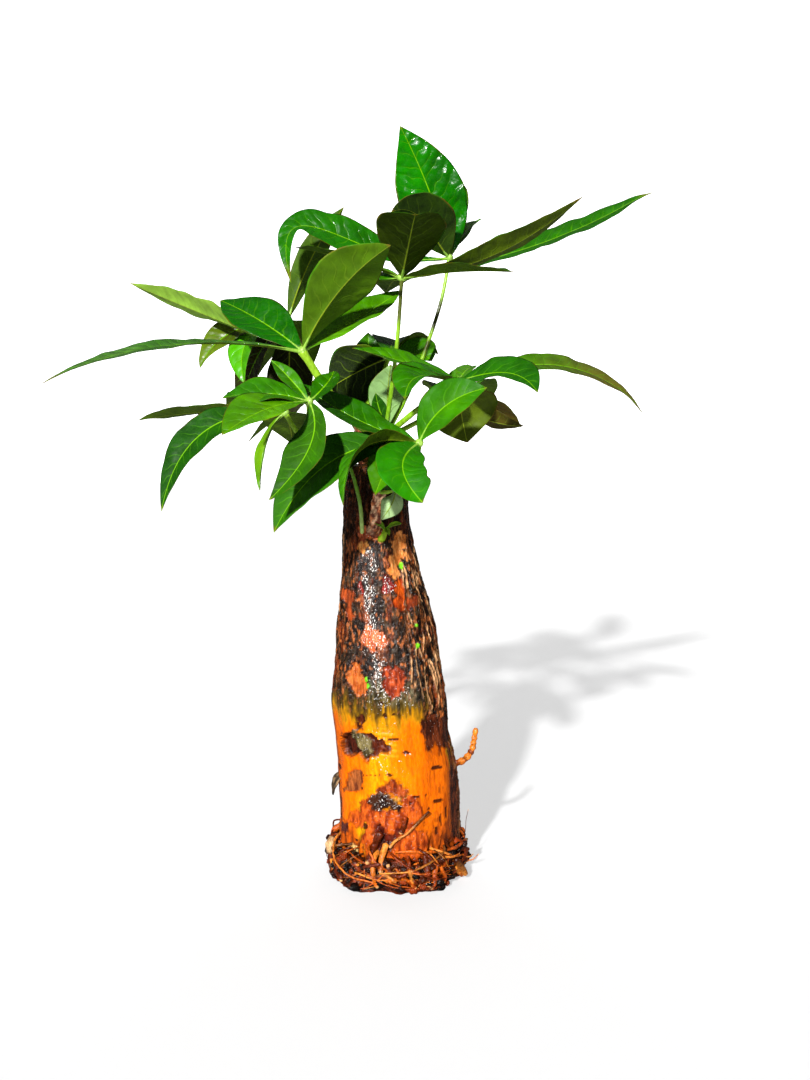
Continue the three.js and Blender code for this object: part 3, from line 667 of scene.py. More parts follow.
    # lower bark: wet orange, yellower at the front and browner to the right, with faint rings
    front = step(62, 20, off(-92))
    gold = step(34, 6, off(-104 - 25 * wide))
    right = step(-66, -28, degrees + 30 * wide) * step(60, 20, degrees)
    left = step(58, 82, off(-95) + 24 * wide)
    bulge = step(14, 4, off(-127)) * step(48, 40, z) * step(18, 26, z)
    rings = np.sin(z * 2.35 + 3 * wide) * step(64, 68, z) * step(84, 78, z) * step(16, 4, off(-97))
    # its foot: brown and fluted where the roots leave it, hidden at the front by the patches
    foot = step(0, 1, (33 - 9 * front - z + 18 * wide + 16 * warp) / 9)
    flutes = lines(0.8, (5, 5, 34), 32) * step(34, 18, z)
    # brown bark that is left down its sides and back
    far = patchy(0.47, 0.56, (15, 15, 60), 38) * step(0, 8, off(-85) - 78)
    far = np.maximum(far, step(-26, -16, degrees + 20 * warp) * step(70, 40, degrees))
    far_lips = step(0.83, 0.95, ridge(space, (2.2, 2.2, 12), 41)) * far
    # olive runs down into the orange where the two kinds meet
    streak = fbm(space, (1.3, 1.3, 9), 27) - 0.5
    level = z + 9 * wide + 10 * warp + 15 * streak + right * (9 + 16 * patchy(0.42, 0.58, (5, 5, 12), 71))
    ochre = gold * step(0.3, 0.6, fbm(space, (7, 7, 14), 22) + 0.15)
    low = layers(
        two_tones((246, 112, 0), (255, 148, 0), ochre),
        ((196, 92, 8), 0.85 * right),
        ((160, 62, 2), (0.35 + 0.5 * right) * patchy(0.52, 0.66, (1.2, 1.2, 10), 23)),
        ((70, 28, 10), right * patchy(0.63, 0.7, (1.0, 1.0, 6), 28)),
        ((255, 186, 10), 0.5 * gold * patchy(0.58, 0.72, (1.1, 1.1, 8), 24)),
        ((146, 58, 6), 0.7 * left),
        ((255, 178, 0), 0.8 * bulge),
        ((255, 200, 50), 0.45 * np.maximum(rings, 0)),
        (two_tones((196, 84, 14), (120, 46, 14), patchy(0.42, 0.62, (2.2, 2.2, 9), 31)), 0.85 * foot),
        ((70, 28, 12), 0.85 * flutes),
        (two_tones((58, 28, 14), (116, 58, 26), patchy(0.42, 0.62, (2, 2, 8), 39)), 0.92 * far),
        ((190, 130, 84), 0.5 * far_lips),
        ((184, 132, 10), 0.85 * step(79, 87, level)),
        (two_tones((92, 74, 16), (58, 46, 16), step(-0.1, 0.1, streak)), 0.9 * step(85, 92, level)))
    low_height = 0.2 * rings + 0.5 * (fbm(space, (3.5, 3.5, 9), 25) - 0.5) + 0.15 * (fine - 0.5)
    low_height = low_height - 1.1 * flutes + 0.5 * foot * (fine - 0.5)
    low_height = low_height + 0.7 * far * (fine - 0.3) + 0.3 * far_lips

    # both together, with a paler olive field at the front between them
    upper = step(88, 100, level)
    pale = step(38, 14, off(-88 - 20 * warp)) * step(88, 93, z) * step(109, 101, z + 8 * wide)
    olive = two_tones((112, 106, 78), (44, 42, 24), patchy(0.42, 0.58, (1.2, 1.2, 4), 29))
    colour = blend(low, blend(colour, olive, 0.8 * pale), upper)
    # painted highlight: glints on the wet lower bark at the front and on the pale olive field
    wet = step(36, 8, off(-97)) * (0.2 + 0.35 * patchy(0.5, 0.65, (3, 3, 5), 56))
    glint = np.maximum(np.maximum(glint, 0.6 * pale), wet * (1 - upper))
    height = mix(low_height, height, upper)

    # small marks everywhere but at the front, then the patches, the dark marks and the moss
    for k in range(SMALL_MARKS):
        degree = 360 * scatter(k, 61)
        if 200 < degree < 340:
            continue
        at = pick(20, 168, k, 62)
        if at < 84:
            half_wide, half_high = pick(1, 3, k, 63), 0.8
            shade = lin(60, 24, 10)
        else:
            half_wide, half_high = pick(2, 5, k, 63), pick(3, 9, k, 64)
            shade = two_tones((196, 100, 42), (140, 55, 20), fine)
        mask = inside(degree, at, half_wide, half_high, 0.9)
        colour = blend(colour, shade, mask)
        height = height - 0.3 * mask
    smooth = np.zeros_like(z)
    for one, two, depth, sparkle, outline in PATCHES:
        deep = within(outline)
        mask = step(-0.2, 0.3, deep)
        rim = np.exp(-(((deep + 0.35) / 0.5) ** 2))
        shade = two_tones(one, two, patchy(0.4, 0.62, (1.6, 1.6, 4.5), len(outline)))
        colour = layers(colour, (shade, mask), ((48, 18, 9), rim * 0.55))
        height = height * (1 - 0.6 * mask) - depth * mask
        glint = mix(glint, sparkle, mask)
        smooth = np.maximum(smooth * (1 - mask), 0.5 * mask)
    for degree, at, half_wide, half_high in MARKS:
        mask = inside(degree, at, half_wide, half_high, 0.45)
        colour = layers(colour, ((52, 20, 9), mask * 0.94))
        height = height - 0.45 * mask
    for degree, at, size in SPECKS:
        mask = inside(degree, at, 0.72 * size, 0.95 * size, 0.55)
        colour = layers(colour, ((118, 208, 24), mask))
        height = height + 0.5 * mask
    coarse = mix(np.maximum(upper, far * (1 - upper)), 0.5, smooth * 2)
    return height, colour, np.stack([coarse, glint, np.zeros_like(z)], -1)


def make_trunk():
    body = Body()
    around, rows = ((300, 325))
    a = np.linspace(-math.pi, math.pi, around, endpoint=False)[None, :]
    z = np.linspace(TRUNK_FOOT_Z + 1, TRUNK_TOP_Z - 0.5, rows)[:, None]
    a, z = np.broadcast_arrays(a, z)
    x, r = trunk_at(z)
    height, colour, facts = bark(a, z)
    r = r + bark_relief(a, z) + height
    points = np.stack([x + r * np.cos(a), r * np.sin(a), z], -1)
    # the cut top, in rings that shrink to its middle
    middle = np.array([TRUNK_OUTLINE[-1][1], 0, TRUNK_TOP_Z - 0.5])
    for share in (0.85, 0.55, 0.2, 0.01):
        rim = middle + (points[rows - 1] - middle) * share
        rim[:, 2] += 0.4 * (1 - share)
        points = np.concatenate([points, rim[None]])
        colour = np.concatenate([colour, colour[rows - 1][None]])
        facts = np.concatenate([facts, facts[rows - 1][None]])
    body.grid(points, colour, facts=facts)
    return body.piece("trunk_bark", [BARK])


# Roots

ROOT_TINTS = [lin(206, 96, 16), lin(150, 54, 6), lin(92, 30, 5), lin(220, 132, 46), lin(56, 18, 5)]
THICK_ROOTS = 12
THIN_ROOTS = 16
HAIR_ROOTS = 90
STUMPS = 70
CURLED_ROOT = [(22, -1, 54), (28, -2, 55.5), (33, -3, 58), (36.5, -3, 63), (37.5, -3, 68), (38.5, -3, 74)]


def polar(radius, angle, z):
    """A point by its distance and angle from the upright axis, and its height."""
    return radius * math.cos(angle), radius * math.sin(angle), z


def root_route(angle, sweep, start_z, end_z, proud, count=5):
    """From under the trunk out to the clod's side, where it stands proud, and down along it."""
    route = []
    for i in range(count + 1):
        share = i / count
        a = angle + sweep * share * share
        z = mix(start_z, end_z, float(step(0.25, 1, share)))
        r = mix(26, float(clod_radius(a, z)) + proud, min(1, share * 2.4))
        route.append(polar(r, a, z))
    return route


def root(body, route, start, end, k, tip=None, sides=9, steps=34):
    """A knotty root whose radius runs from start to end. A tip is its colour where it was cut."""
    path = curve(route, steps)
    share = np.linspace(0, 1, steps + 1)
    wander = (fbm(path, 6.0, 70 + k)[:, None] - 0.5) * np.array([1.2, 1.2, 0.8])
    path = path + wander * np.sin(math.pi * share)[:, None]
    knots = 1 + 0.16 * (noise(path, 3.1, 90 + k) - 0.5) * 2
    tint = blend(ROOT_TINTS[k % 5], ROOT_TINTS[(k * 3 + 1) % 5], share)
    tint = tint * (0.75 + 0.5 * noise(path, 2.5, 99))[:, None]
    if tip is not None:
        tint = blend(tint, tip, step(0.93, 0.98, share))
    tube(body, path, mix(start, end, share) * knots, tint, sides=sides, rough=start * 0.3, seed=k)


def make_roots():
    body = Body()
    # the thick root that was cut off on the left
    share = np.linspace(0, 1, 17)
    path = curve([(-23, -5, 12), (-30, -7, 13.5), (-36.2, -8.5, 15.2)], 16)
    tint = two_tones((84, 34, 14), (214, 168, 118), step(0.8, 0.95, share))
    tube(body, path, mix(3.6, 4.4, share), tint, sides=16, rough=1.6)
    for i in range(THICK_ROOTS):
        angle = 2 * math.pi * (i + 0.5 * scatter(i, 1)) / THICK_ROOTS
        route = root_route(angle, pick(-0.5, 0.5, i, 2), pick(13, 19, i, 3), 2.8, 0.2)
        root(body, route, pick(1.7, 2.9, i, 4), 0.9, i, tip=lin(226, 170, 110), sides=12)
    for i in range(THIN_ROOTS):
        angle = 2 * math.pi * (i + 0.7 * scatter(i, 5)) / THIN_ROOTS
        way = -1 if scatter(i, 6) < 0.5 else 1
        sweep = way * pick(0.5, 1.2, i, 7)
        route = root_route(angle, sweep, pick(18.5, 24, i, 8), pick(2, 11, i, 9), 1.3)
        root(body, route, pick(0.45, 0.9, i, 18), 0.35, i + 20)
    for i in range(HAIR_ROOTS):
        angle = 2 * math.pi * scatter(i, 10)
        sweep = pick(-0.9, 0.9, i, 11)
        start = pick(8, 19, i, 12)
        route = root_route(angle, sweep, start, pick(1.2, 10, i, 13), pick(-0.2, 1.4, i, 14), 7)
        first = int(pick(0, 3.9, i, 15))
        root(body, route[first:], pick(0.2, 0.55, i, 16), 0.16, i + 50, sides=6, steps=20)
    # short wet stumps between the long roots
    for i in range(STUMPS):
        angle = 2 * math.pi * scatter(i, 81)
        z = pick(3, 16, i, 82)
        turn = pick(-0.28, 0.28, i, 83)
        r = float(clod_radius(angle, min(z, CLOD_TOP_Z))) + pick(-2.6, 0.2, i, 84) - max(0, z - 12)
        a = polar(r, angle, z)
        b = polar(r, angle + turn, max(1.6, z + pick(-7, 3, i, 85)))
        middle = tuple((p + q) / 2 * 1.02 for p, q in zip(a, b))
        start = pick(0.6, 1.5, i, 86)
        end = pick(0.4, 1.1, i, 87)
        root(body, [a, middle, b], start, end, 2 + 5 * i + i % 2, steps=14)
    for i, (route, start, end) in enumerate(FRONT_ROOTS):
        root(body, route, start * 0.85, end * 0.8, i, sides=12, tip=lin(226, 160, 96))
    # the curled root high on the right, ringed like a spring
    path = curve(CURLED_ROOT, 90)
    share = np.linspace(0, 1, 91)
    rings = 1 + 0.13 * np.sin(share * 60 + 2 * np.sin(share * 9))
    tint = two_tones((226, 124, 30), (120, 50, 14), step(0.55, 0.8, noise(path, 2.0, 5)))
    tube(body, path, mix(1.95, 1.25, share) * rings, tint, sides=14, rough=0.4, seed=3)
    return body.piece("trunk_roots", [ROOT])


# Roots seen on the front of the clod: route, first radius, last radius
FRONT_ROOTS = [
    ([(-32.1, -6.3, 17.2), (-26.1, -21, 16.6), (-19.3, -30.5, 14.7), (-13.9, -33.7, 13.8)], 0.85, 0.7),
    ([(-30, -19.2, 15), (-24.3, -27.2, 13.4), (-20.4, -30.2, 10.7)], 0.75, 0.5),
    ([(-21.2, -29.7, 9.4), (-13.9, -33.7, 13.8), (-9.6, -34.8, 14.8)], 0.9, 0.7),
    ([(-6.8, -30.6, 23.6), (-8.6, -31.7, 17.4), (-9.4, -35.6, 11.2)], 2, 1.5),
    ([(14.2, -27.5, 39), (8.9, -29.6, 34.3), (3.6, -30.7, 29.1), (-2.8, -30.8, 24.8),
        (-4.9, -30.5, 21.9)], 0.75, 0.85),
    ([(-2.3, -30.8, 19.5), (5.2, -30.5, 19.7), (12.1, -28.5, 18.6), (19.7, -24.7, 18),
        (26.9, -18.8, 17.1), (34.2, -3.1, 16)], 0.8, 1),
    ([(3.6, -31.6, 17.9), (4.4, -36, 14.7), (2.5, -36.4, 10.4), (-0.7, -36.5, 9.1), (-4.4, -36.2, 11.5),
        (-5.9, -35.3, 15)], 1, 1.2),
    ([(12.4, -30.3, 17.4), (13.1, -34.3, 11.8), (14.2, -33.9, 3.9)], 1.7, 2.1),
    ([(21.8, -27.2, 15.6), (25.6, -25.2, 14.9), (29.6, -20.7, 14.8)], 0.8, 0.5),
    ([(27.8, -24, 13.3), (30.4, -20.6, 8.5), (32.8, -16.6, 3)], 1.6, 1.8),
    ([(0.9, -36.4, 8.2), (4.6, -36.1, 6.5), (7.8, -35.6, 3.2)], 0.8, 0.9),
    ([(2.5, -31.1, 37.5), (1.7, -31.1, 33.1), (0.4, -31.2, 29.3)], 1.5, 1.2),
    ([(-9.7, -30, 28.9), (-13.5, -28.5, 19.5), (-16, -33.1, 14.6)], 2.4, 1.6),
    ([(-34.9, -10.8, 8.1), (-33.6, -14.3, 4.9), (-34.3, -12.6, 1.5)], 1, 1.3),
    ([(-11.8, -34.7, 8.7), (-7.5, -35.8, 9.7), (-3.3, -36.5, 7.7)], 1.3, 0.9),
    ([(20.1, -30.6, 12.5), (22.3, -29, 6.3), (21.8, -29.4, 3.7)], 1.2, 0.9),
    ([(7.8, -35.7, 10.2), (6.2, -36, 7.5), (9.4, -35.3, 4.5)], 1, 0.8),
    ([(31, -4, 16.5), (33.2, -4, 20), (33.8, -4, 27), (34.8, -4, 32)], 0.2, 0.15),
    ([(30.5, -4, 2.5), (35.3, -4, 4.8), (37, -4, 5.2), (40.3, -4, 8.3)], 0.5, 0.25),
    ([(31, -6, 9), (35, -7, 8), (37.4, -7, 9.5)], 0.4, 0.25),
]


def make_chip():
    """The flake of bark that peels off low on the left."""
    body = Body()
    rows, cols = 22, 9
    t = np.linspace(0, 1, rows)[:, None]
    u = np.linspace(-1, 1, cols)[None, :]
    base, tip = np.array([-26, -4, 54.0]), np.array([-34, -5, 40.0])
    bow = np.array([-1.5, 0, 1])
    middle = base + (tip - base) * t[..., None] + bow * (4 * t * (1 - t))[..., None]
    side = unit(np.cross(tip - base, [-1, -0.4, 0.6]))
    up = unit(np.cross(side, tip - base))
    half = 3.6 * np.sin(math.pi * np.clip(t, 0.02, 0.99) ** 1.1) ** 0.8 * (1 + 0.15 * np.sin(9 * t + 3 * u))
    crumple = noise(np.stack(np.broadcast_arrays(t * 9, u * 3, u * 0), -1), 1.0, 8)
    lift = 0.22 * np.abs(u) * half + 0.4 * crumple
    sheet = middle + side * (u * half)[..., None] + up * lift[..., None]
    tint = two_tones((52, 40, 28), (150, 120, 84), step(0.45, 0.7, fbm(sheet, (1.5, 1.5, 5), 9)))
    both = np.concatenate([sheet + up * 0.35, (sheet - up * 0.35)[:, ::-1]], 1)
    body.grid(both, np.concatenate([tint, tint[:, ::-1] * 0.7], 1))
    return body.piece("trunk_flake", [WOOD])


CRUMBS = 520


def make_soil():
    """The clod from its underside up its side to its top, as rings, with crumbs all over it."""
    body = Body()
    cols = 220
    a = np.linspace(-math.pi, math.pi, cols, endpoint=False)[None, :]
    rows = []
    tints = []
    profile = [(s, 0.0, 0) for s in (0.01, 0.4, 0.75, 0.95)]
    profile += [(1.0, z, 1) for z in np.linspace(0.4, CLOD_TOP_Z - 0.6, 22)]
    profile += [(s, CLOD_TOP_Z, 2) for s in np.linspace(0.985, 0.6, 16)]
    for share, z, kind in profile:
        level = z + (1.2 * np.sin(7 * a) if kind == 2 else 0 * a)
        r = share * clod_radius(a, level)
        p = np.stack([r * np.cos(a), r * np.sin(a), level], -1)
        out = np.stack([np.cos(a), np.sin(a), 0 * a], -1)
        ragged = 5.5 * (fbm(p, 5.2, 51) - 0.58) + 2.0 * (fbm(p, 1.6, 52, 2) - 0.5)
        if kind == 1:
            p = p + out * ragged[..., None]
        if kind == 2:
            p = p + np.array([0, 0, 1]) * (0.8 * ragged - 0.4)[..., None]
        rows.append(p[0])
        tone = two_tones((10, 5, 3), (84, 28, 6), step(0.42, 0.62, fbm(p, 3.0, 53)))
        tone = layers(tone, ((170, 66, 10), step(0.58, 0.7, fbm(p, (1.7, 1.7, 2.6), 54)) * 0.8))
        tints.append(tone[0])
    body.grid(np.array(rows), np.array(tints))
    shades = [lin(12, 6, 4), lin(70, 24, 6), lin(134, 48, 8), lin(20, 9, 5), lin(40, 14, 6)]
    for i in range(CRUMBS):
        angle = 2 * math.pi * scatter(i, 21)
        z = mix(1.4, CLOD_TOP_Z + 0.5, scatter(i, 22))
        r = float(clod_radius(angle, z)) + pick(-1.6, 0.5, i, 23)
        if scatter(i, 24) < 0.35:
            r, z = pick(27, 34, i, 25), CLOD_TOP_Z + pick(-0.4, 0.8, i, 26)
        size = mix(0.6, 3.0, scatter(i, 27) ** 2)
        lump(body, polar(r, angle, z), size, shades[i % 5], i, squash=0.7)
    return body.piece("soil_clod", [SOIL])


# Shoots

# Each shoot's route, its first and last radius, and whether it is woody
SHOOTS = {
    "shoot_front": ([(-13, -8, 170), (-12.5, -17.5, 178), (-10.5, -22, 191),
        (-7.5, -26, 206)], (3.6, 2.3), True),
    "shoot_left": ([(-18.5, -8, 169), (-18.4, -17.5, 178), (-19.1, -21.5, 190), (-22, -24, 203),
        (-26, -25, 214)], (1.5, 1.2), False),
    "shoot_top": ([(-9, -2, 200), (-9, -2, 212), (-8, -3, 220), (-6.5, -4, 228)], (4.4, 3), False),
    "shoot_back": ([(-16, 7, 200), (-18, 11, 211), (-20, 15, 219), (-21, 18, 226)], (3.8, 2.8), True),
}


def make_shoot(name, route, radii, woody):
    body = Body()
    steps = 60
    path = curve(route, steps)
    share = np.linspace(0, 1, steps + 1)
    length = np.linalg.norm(np.diff(path, axis=0), axis=1).sum()
    if woody:
        turn = np.linspace(0, 2 * math.pi, 26, endpoint=False)[None, :]
        ring = 3 * np.cos(turn), 3 * np.sin(turn)
        skin = np.stack(np.broadcast_arrays(*ring, share[:, None] * length), -1)
        # salmon-brown bark with pale flecks, its tints lighter than its own as painted light, as if sun
        # reached the stub under the leaves
        tint = two_tones((240, 138, 84), (124, 60, 36), step(0.42, 0.6, fbm(skin, (2, 2, 3), 5)))
        tint = layers(tint, ((255, 200, 156), step(0.5, 0.66, fbm(skin, (1.2, 1.2, 2.2), 8, 2))))
        radius = mix(*radii, share) * (0.94 + 0.16 * noise(path, 5.0, 12))
        tube(body, path, radius, tint, sides=26, rough=2.2, seed=4)
    else:
        nodes = np.exp(-(((share * length) % 9.0 - 4.5) / 0.9) ** 2)
        if name == "shoot_left":
            # thinner here than its solid, and smoother
            nodes = nodes * 0.4
            radii = (1.05, 0.8)
        radius = mix(*radii, share) * (1 + 0.07 * nodes)
        tint = layers(
            two_tones((210, 240, 140), (96, 150, 12), step(0.0, 0.7, share)),
            ((128, 84, 44), step(0.12, 0.0, share) * 0.8),
            ((96, 104, 48), nodes * 0.45))
        tube(body, path, radius, tint, sides=18, rough=0.25, seed=4)
    return body.piece(name + "_stem", [WOOD if woody else STALK])


def make_bud():
    """The bud low on the trunk's neck, with its first small leaflets."""
    body = Body()
    share = np.linspace(0, 1, 15)
    tint = two_tones((120, 150, 30), (150, 190, 40), share)
    path = curve([(-9.5, -16, 172), (-8, -19.5, 174), (-7, -20.5, 178)], 14)
    tube(body, path, mix(2.1, 1.0, share), tint, sides=12)
    look = dict(top=(150, 200, 50), under=(170, 205, 110))
    for tip, wide in (((1, -23, 181), 3.2), ((-13, -22, 181), 4.2), ((-5, -24, 175), 2.6)):
        blade = (tip, wide, (0, 0, 1.2), (0, -0.6, 0.8), look)
        leaflet(body, np.array([-7, -20.5, 177.5]), blade, look["top"], 7, rows=14)
    return body.piece("bud", LEAF_SLOTS)


# Leaves

# Each leaf's stalk, its first and last radius, and its leaflets. A leaflet has its tip, its width, how
# far it bows, the way it faces, and what differs from PLAIN.
# The top and under colours given here carry painted light and shade: undersides that face the light are
# pale mint and those in shade dark olive or near black, though the real undersides are one colour, and
# leaf_b's long leaflet has a grey-green painted sheen on its top
LEAVES = {
    "leaf_a": ([(-7, -4, 225), (-4, -10, 245), (-1, -14, 270), (1, -15, 297.5)], (1.6, 1.2), [
        ((82, -45, 331), 19, (3, 0, -6.5), (-0.35, 0.45, 1), dict(fold=0.15, under=(74, 94, 0),
            brown_from=0.92, hook=0.5)),
        ((123, 5, 341.5), 20, (5, 0, -5), (-0.35, -0.55, 1), dict(fold=0.15, top=(28, 92, 0),
            brown_from=0.92, hook=1.5)),
        ((50, -62, 296), 18, (1, 0, 2), (0, 0.1, 1), dict(top=(34, 84, 4))),
        ((7, -68, 319.5), 32, (1, -2, 6), (0, 0.6, 0.8), dict(late=1.3, under=(54, 72, 0))),
        ((-53, 25, 316), 18, (0.5, 0, 2), (0, 0.1, 1)),
        ((-45, 26, 301), 19, (0, 0, -1), (0, -0.5, 1)),
        ((-8, 62, 296), 22, (0, 0, 3), (0, 0, 1)),
    ]),
    "leaf_g": ([(-7, -2, 222), (5, 7, 245), (14, 15, 268), (21, 21, 290), (25, 25, 311)], (1.5, 1.1), [
        ((0, 18, 374), 34, (2, 0, 1), (-0.08, -0.94, 0.34), dict(full=0.88, fold=0.12, top=(14, 112, 0),
            dull=0, pucker=5)),
        ((41, 60, 334), 18, (0, 0, 3), (-0.2, 0.1, 1)),
        ((-4, -8, 329), 30, (2, 0, 7), (0.2, 0.8, 0.6), dict(late=1.5, under=(44, 70, 8))),
        ((-53.5, 5, 297), 22, (-14, 0, 24.5), (-0.4, -0.6, 0.6), dict(full=1.5, late=2.6,
            top=(30, 112, 2), dull=0.6, brown_from=0.95)),
        ((21, 70, 364), 26, (0, 6, 4), (0, -0.7, 0.7)),
    ]),
    "leaf_b": ([(-8, -3, 219), (-20, -14, 228), (-33, -25, 243), (-45.5, -30, 262.5)], (2.1, 1.8), [
        ((-4, -48, 309), 31, (-3, 0, 4), (-0.45, 0.8, 0.4), dict(full=1.3, under=(76, 114, 0))),
        ((-88, 2, 288), 26, (0.5, -3, 2), (0.2, -0.8, 0.6), dict(top=(16, 96, 0), dull=0.8)),
        # painted sheen: a grey-green top
        ((-158, -62, 248.5), 17, (-1.5, 0, 9.5), (0, -0.25, 1), dict(full=1.5, fold=0.1,
            top=(66, 112, 40), dull=0.2, brown_from=0.9, hook=1)),
        ((1, 3, 293), 22, (0.5, 0, 0), (-0.2, -0.6, 0.8)),
        # painted light: a pale, lit underside
        ((-140.3, 40, 299.5), 21, (1.5, 14, -1), (0, 0.65, 0.8), dict(late=1.2, under=(132, 174, 56))),
    ]),
    "leaf_c": ([(-25.7, -25, 213), (-34, -41, 221), (-40, -54, 230.5), (-40, -62, 239.5)], (1.5, 1.3), [
        ((-74, -95, 226), 28, (0, 0, 4), (-0.1, -0.5, 1), dict(full=1.3, top=(84, 146, 0))),
        ((-78, -66, 241), 22, (0, 0, 3), (-0.1, -0.5, 1)),
        ((-55.5, -88, 198), 21, (9, -2, 2), (-0.65, -0.9, 0.1), dict(top=(42, 94, 0), dull=2.5)),
        ((-30, -45, 253), 12, (2, 0, 1), (-0.3, -0.8, 0.4), dict(dull=0.2)),
        ((-58, -50, 258), 8, (0, 0, 1), (0.3, -0.9, 0.4)),
    ]),
    "leaf_d": ([(-8, -26, 205), (1, -35, 207), (7, -45, 211), (9, -50, 220.5)], (1.5, 1.3), [
        ((-47, -42, 248), 22, (0, 0, -3), (0.3, -0.5, 0.9)),
        ((-24, -86, 195.5), 18, (-9, 0, 11.5), (-0.9, -0.3, 0.5)),
        ((-55.5, -70, 182), 29, (-6, -1, 12.5), (-0.5, -0.8, 0.6), dict(full=1.45, top=(46, 106, 0),
            dull=2.5)),
        ((39, -58, 245.5), 25, (-4, 0, 4), (-0.5, -0.8, 0.6), dict(top=(54, 124, 0), dull=2)),
        ((-10.5, -74, 199), 20, (-2, 2, 4), (-0.1, -0.8, 0.6)),
        ((10, -90, 197), 25, (-8, -9, 3), (0.15, -0.8, 0.6), dict(top=(36, 122, 0), dull=2, blunt=1)),
    ]),
    "leaf_e": ([(-7, -4, 222), (6, -11, 233), (18, -17, 242), (28, -22, 249)], (1.5, 1.2), [
        ((119, -5, 236), 19, (-1, 0, 14.5), (0, -0.5, 1), dict(late=1.2, fold=0.12, top=(64, 112, 4),
            far=(98, 84, 28), brown_from=0.95, hook=3)),
        ((61.5, -60, 243.5), 22, (3, 0, 6.5), (0.3, -0.9, 0.7), dict(late=1.2, top=(30, 99, 0),
            dull=2.5)),
        ((2.5, -55, 240.5), 26, (-4, 0, 7), (-0.4, -0.7, 0.7), dict(late=1.4, top=(44, 118, 0))),
        ((-22, -30, 264), 17, (0, 0, 1), (0, -0.4, 1)),
        ((37, 12, 256), 10, (0, 0, 2), (0, -0.2, 1)),
        ((33, -9, 219), 36, (-1, 6, 2), (0.1, 0.95, 0.3), dict(under=(78, 96, 4))),
    ]),
    "leaf_i": ([(-20, 16, 220), (-17, 24, 236), (-10, 31, 250), (-6, 35, 261)], (1.4, 1.1), [
        ((16, 22, 259), 22, (3, 0, 3), (0, -0.7, 0.7)),
        ((20, 42, 263), 16, (0, 2, 6), (0, 0.5, 0.8)),
        # painted shade: an underside near black
        ((-36, 18, 245), 32, (0, 0, 1), (-0.3, 1, -0.2), dict(under=(20, 34, 2))),
        ((-31, 42, 263), 16, (0, 0, 1), (0, 0.4, 0.8)),
        ((0, 98, 266), 25, (0, 0, 8), (0, 0, 1)),
    ]),
    "leaf_l": ([(-9, -2, 214), (-7, 3, 218), (-6, 8, 225)], (1.2, 1), [
        # painted light: a pale mint underside, as if lit
        ((-4.5, 4, 257), 20, (-1, 3, 0), (0, 1, 0.1), dict(fold=0.1, under=(132, 170, 102), dull=0.2)),
        ((-12, 3, 243), 8, (-1, 0, 0), (0, -1, 0.2)),
    ]),
    "leaf_j": ([(-24, -24.4, 209), (-37, -22.5, 213), (-47, -22, 222), (-54.5, -22, 233.5)], (1.4, 1.2), [
        ((-110, -45, 189), 19, (-10, 0, 13.5), (-0.45, -0.85, 0.5), dict(top=(22, 78, 0), dull=2.5)),
        ((-130.5, 5, 229.5), 18, (-1, 0, 3), (0, 0.3, 1), dict(fold=0.1)),
        ((-53.5, 8, 217), 27, (0, 0, 3), (0, 0.6, 0.5)),
        ((-66, -32, 197.5), 12, (-4.5, 0, 1), (-1, -0.5, 0.2), dict(late=0.7, top=(92, 142, 8),
            under=(92, 142, 8))),
        ((-88, 17, 236), 20, (0, 0, 6), (0, 0.3, 1)),
    ]),
    "leaf_m": ([(-21, 18, 224), (-34, 27, 242), (-48, 33, 260), (-58, 35, 280)], (1.5, 1.2), [
        ((-29, 40, 338), 15, (-3, 0, 2), (-0.35, 0.9, 0.2), dict(under=(64, 96, 14))),
        ((-103, 28, 255.5), 18, (-7, 0, 6), (-0.5, -0.8, 0.5), dict(top=(56, 70, 2), far=(96, 120, 20),
            dull=1)),
        ((-78, 12, 247.5), 19, (-9.5, 0, 6.5), (-0.6, -0.7, 0.5), dict(top=(84, 168, 8))),
        ((-84, 34, 224), 19, (-5, 0, 6), (-0.7, -0.6, 0.1), dict(top=(44, 36, 8))),
        ((-61, 26, 226), 24, (2, 2, 0), (0.1, 1, 0.2), dict(under=(36, 34, 6))),
        ((-54, 94, 250), 25, (0, 0, 8), (0, 0, 1)),
        ((-80, 78, 251), 25, (0, 0, 6), (0, -0.3, 1)),
    ]),
    "leaf_n": ([(-19, 14, 216), (-3, 28, 222), (13, 41, 230), (26, 48, 239)], (1.5, 1.2), [
        ((64, 30, 226), 15, (0, 0, -3), (0, 0.8, 0.8), dict(top=(62, 58, 8), under=(70, 62, 8))),
        ((52, 90, 240), 25, (0, 0, 8), (0, 0, 1)),
        ((24, 118, 238), 26, (0, 0, 8), (0, 0, 1)),
        ((66, 66, 224), 23, (0, 0, 5), (0, 0, 1), dict(under=(90, 74, 6))),
        ((36, 50, 258), 13, (0, 3, 0), (0, -1, 0.3)),
    ]),
    "leaf_o": ([(-19, 15, 218), (-20, 32, 224), (-19, 50, 232), (-17, 62, 241)], (1.5, 1.2), [
        ((-14, 128, 240), 27, (0, 0, 10), (0, 0, 1)),
        ((-62, 118, 232), 26, (0, 0, 10), (0, 0, 1)),
        ((-84, 70, 216), 24, (0, 0, 10), (0, 0, 1)),
        ((-18, 82, 276), 18, (0, 4, 2), (0, -0.9, 0.4)),
        ((8, 82, 254), 16, (0, 0, 3), (0, -0.3, 1)),
    ]),
    "leaf_p": ([(-10.5, -24, 196), (-6, -29, 196.5), (-2, -32, 198)], (1, 0.9), [
        # painted light: a pale, lit underside
        ((-8.8, -37, 184), 10.5, (2, -3, 1), (0.2, 1, 0.2), dict(under=(184, 218, 150), dull=0.8)),
        ((-12, -42, 197), 13, (-1, -1, 3), (-0.2, -0.7, 0.7)),
    ]),
}


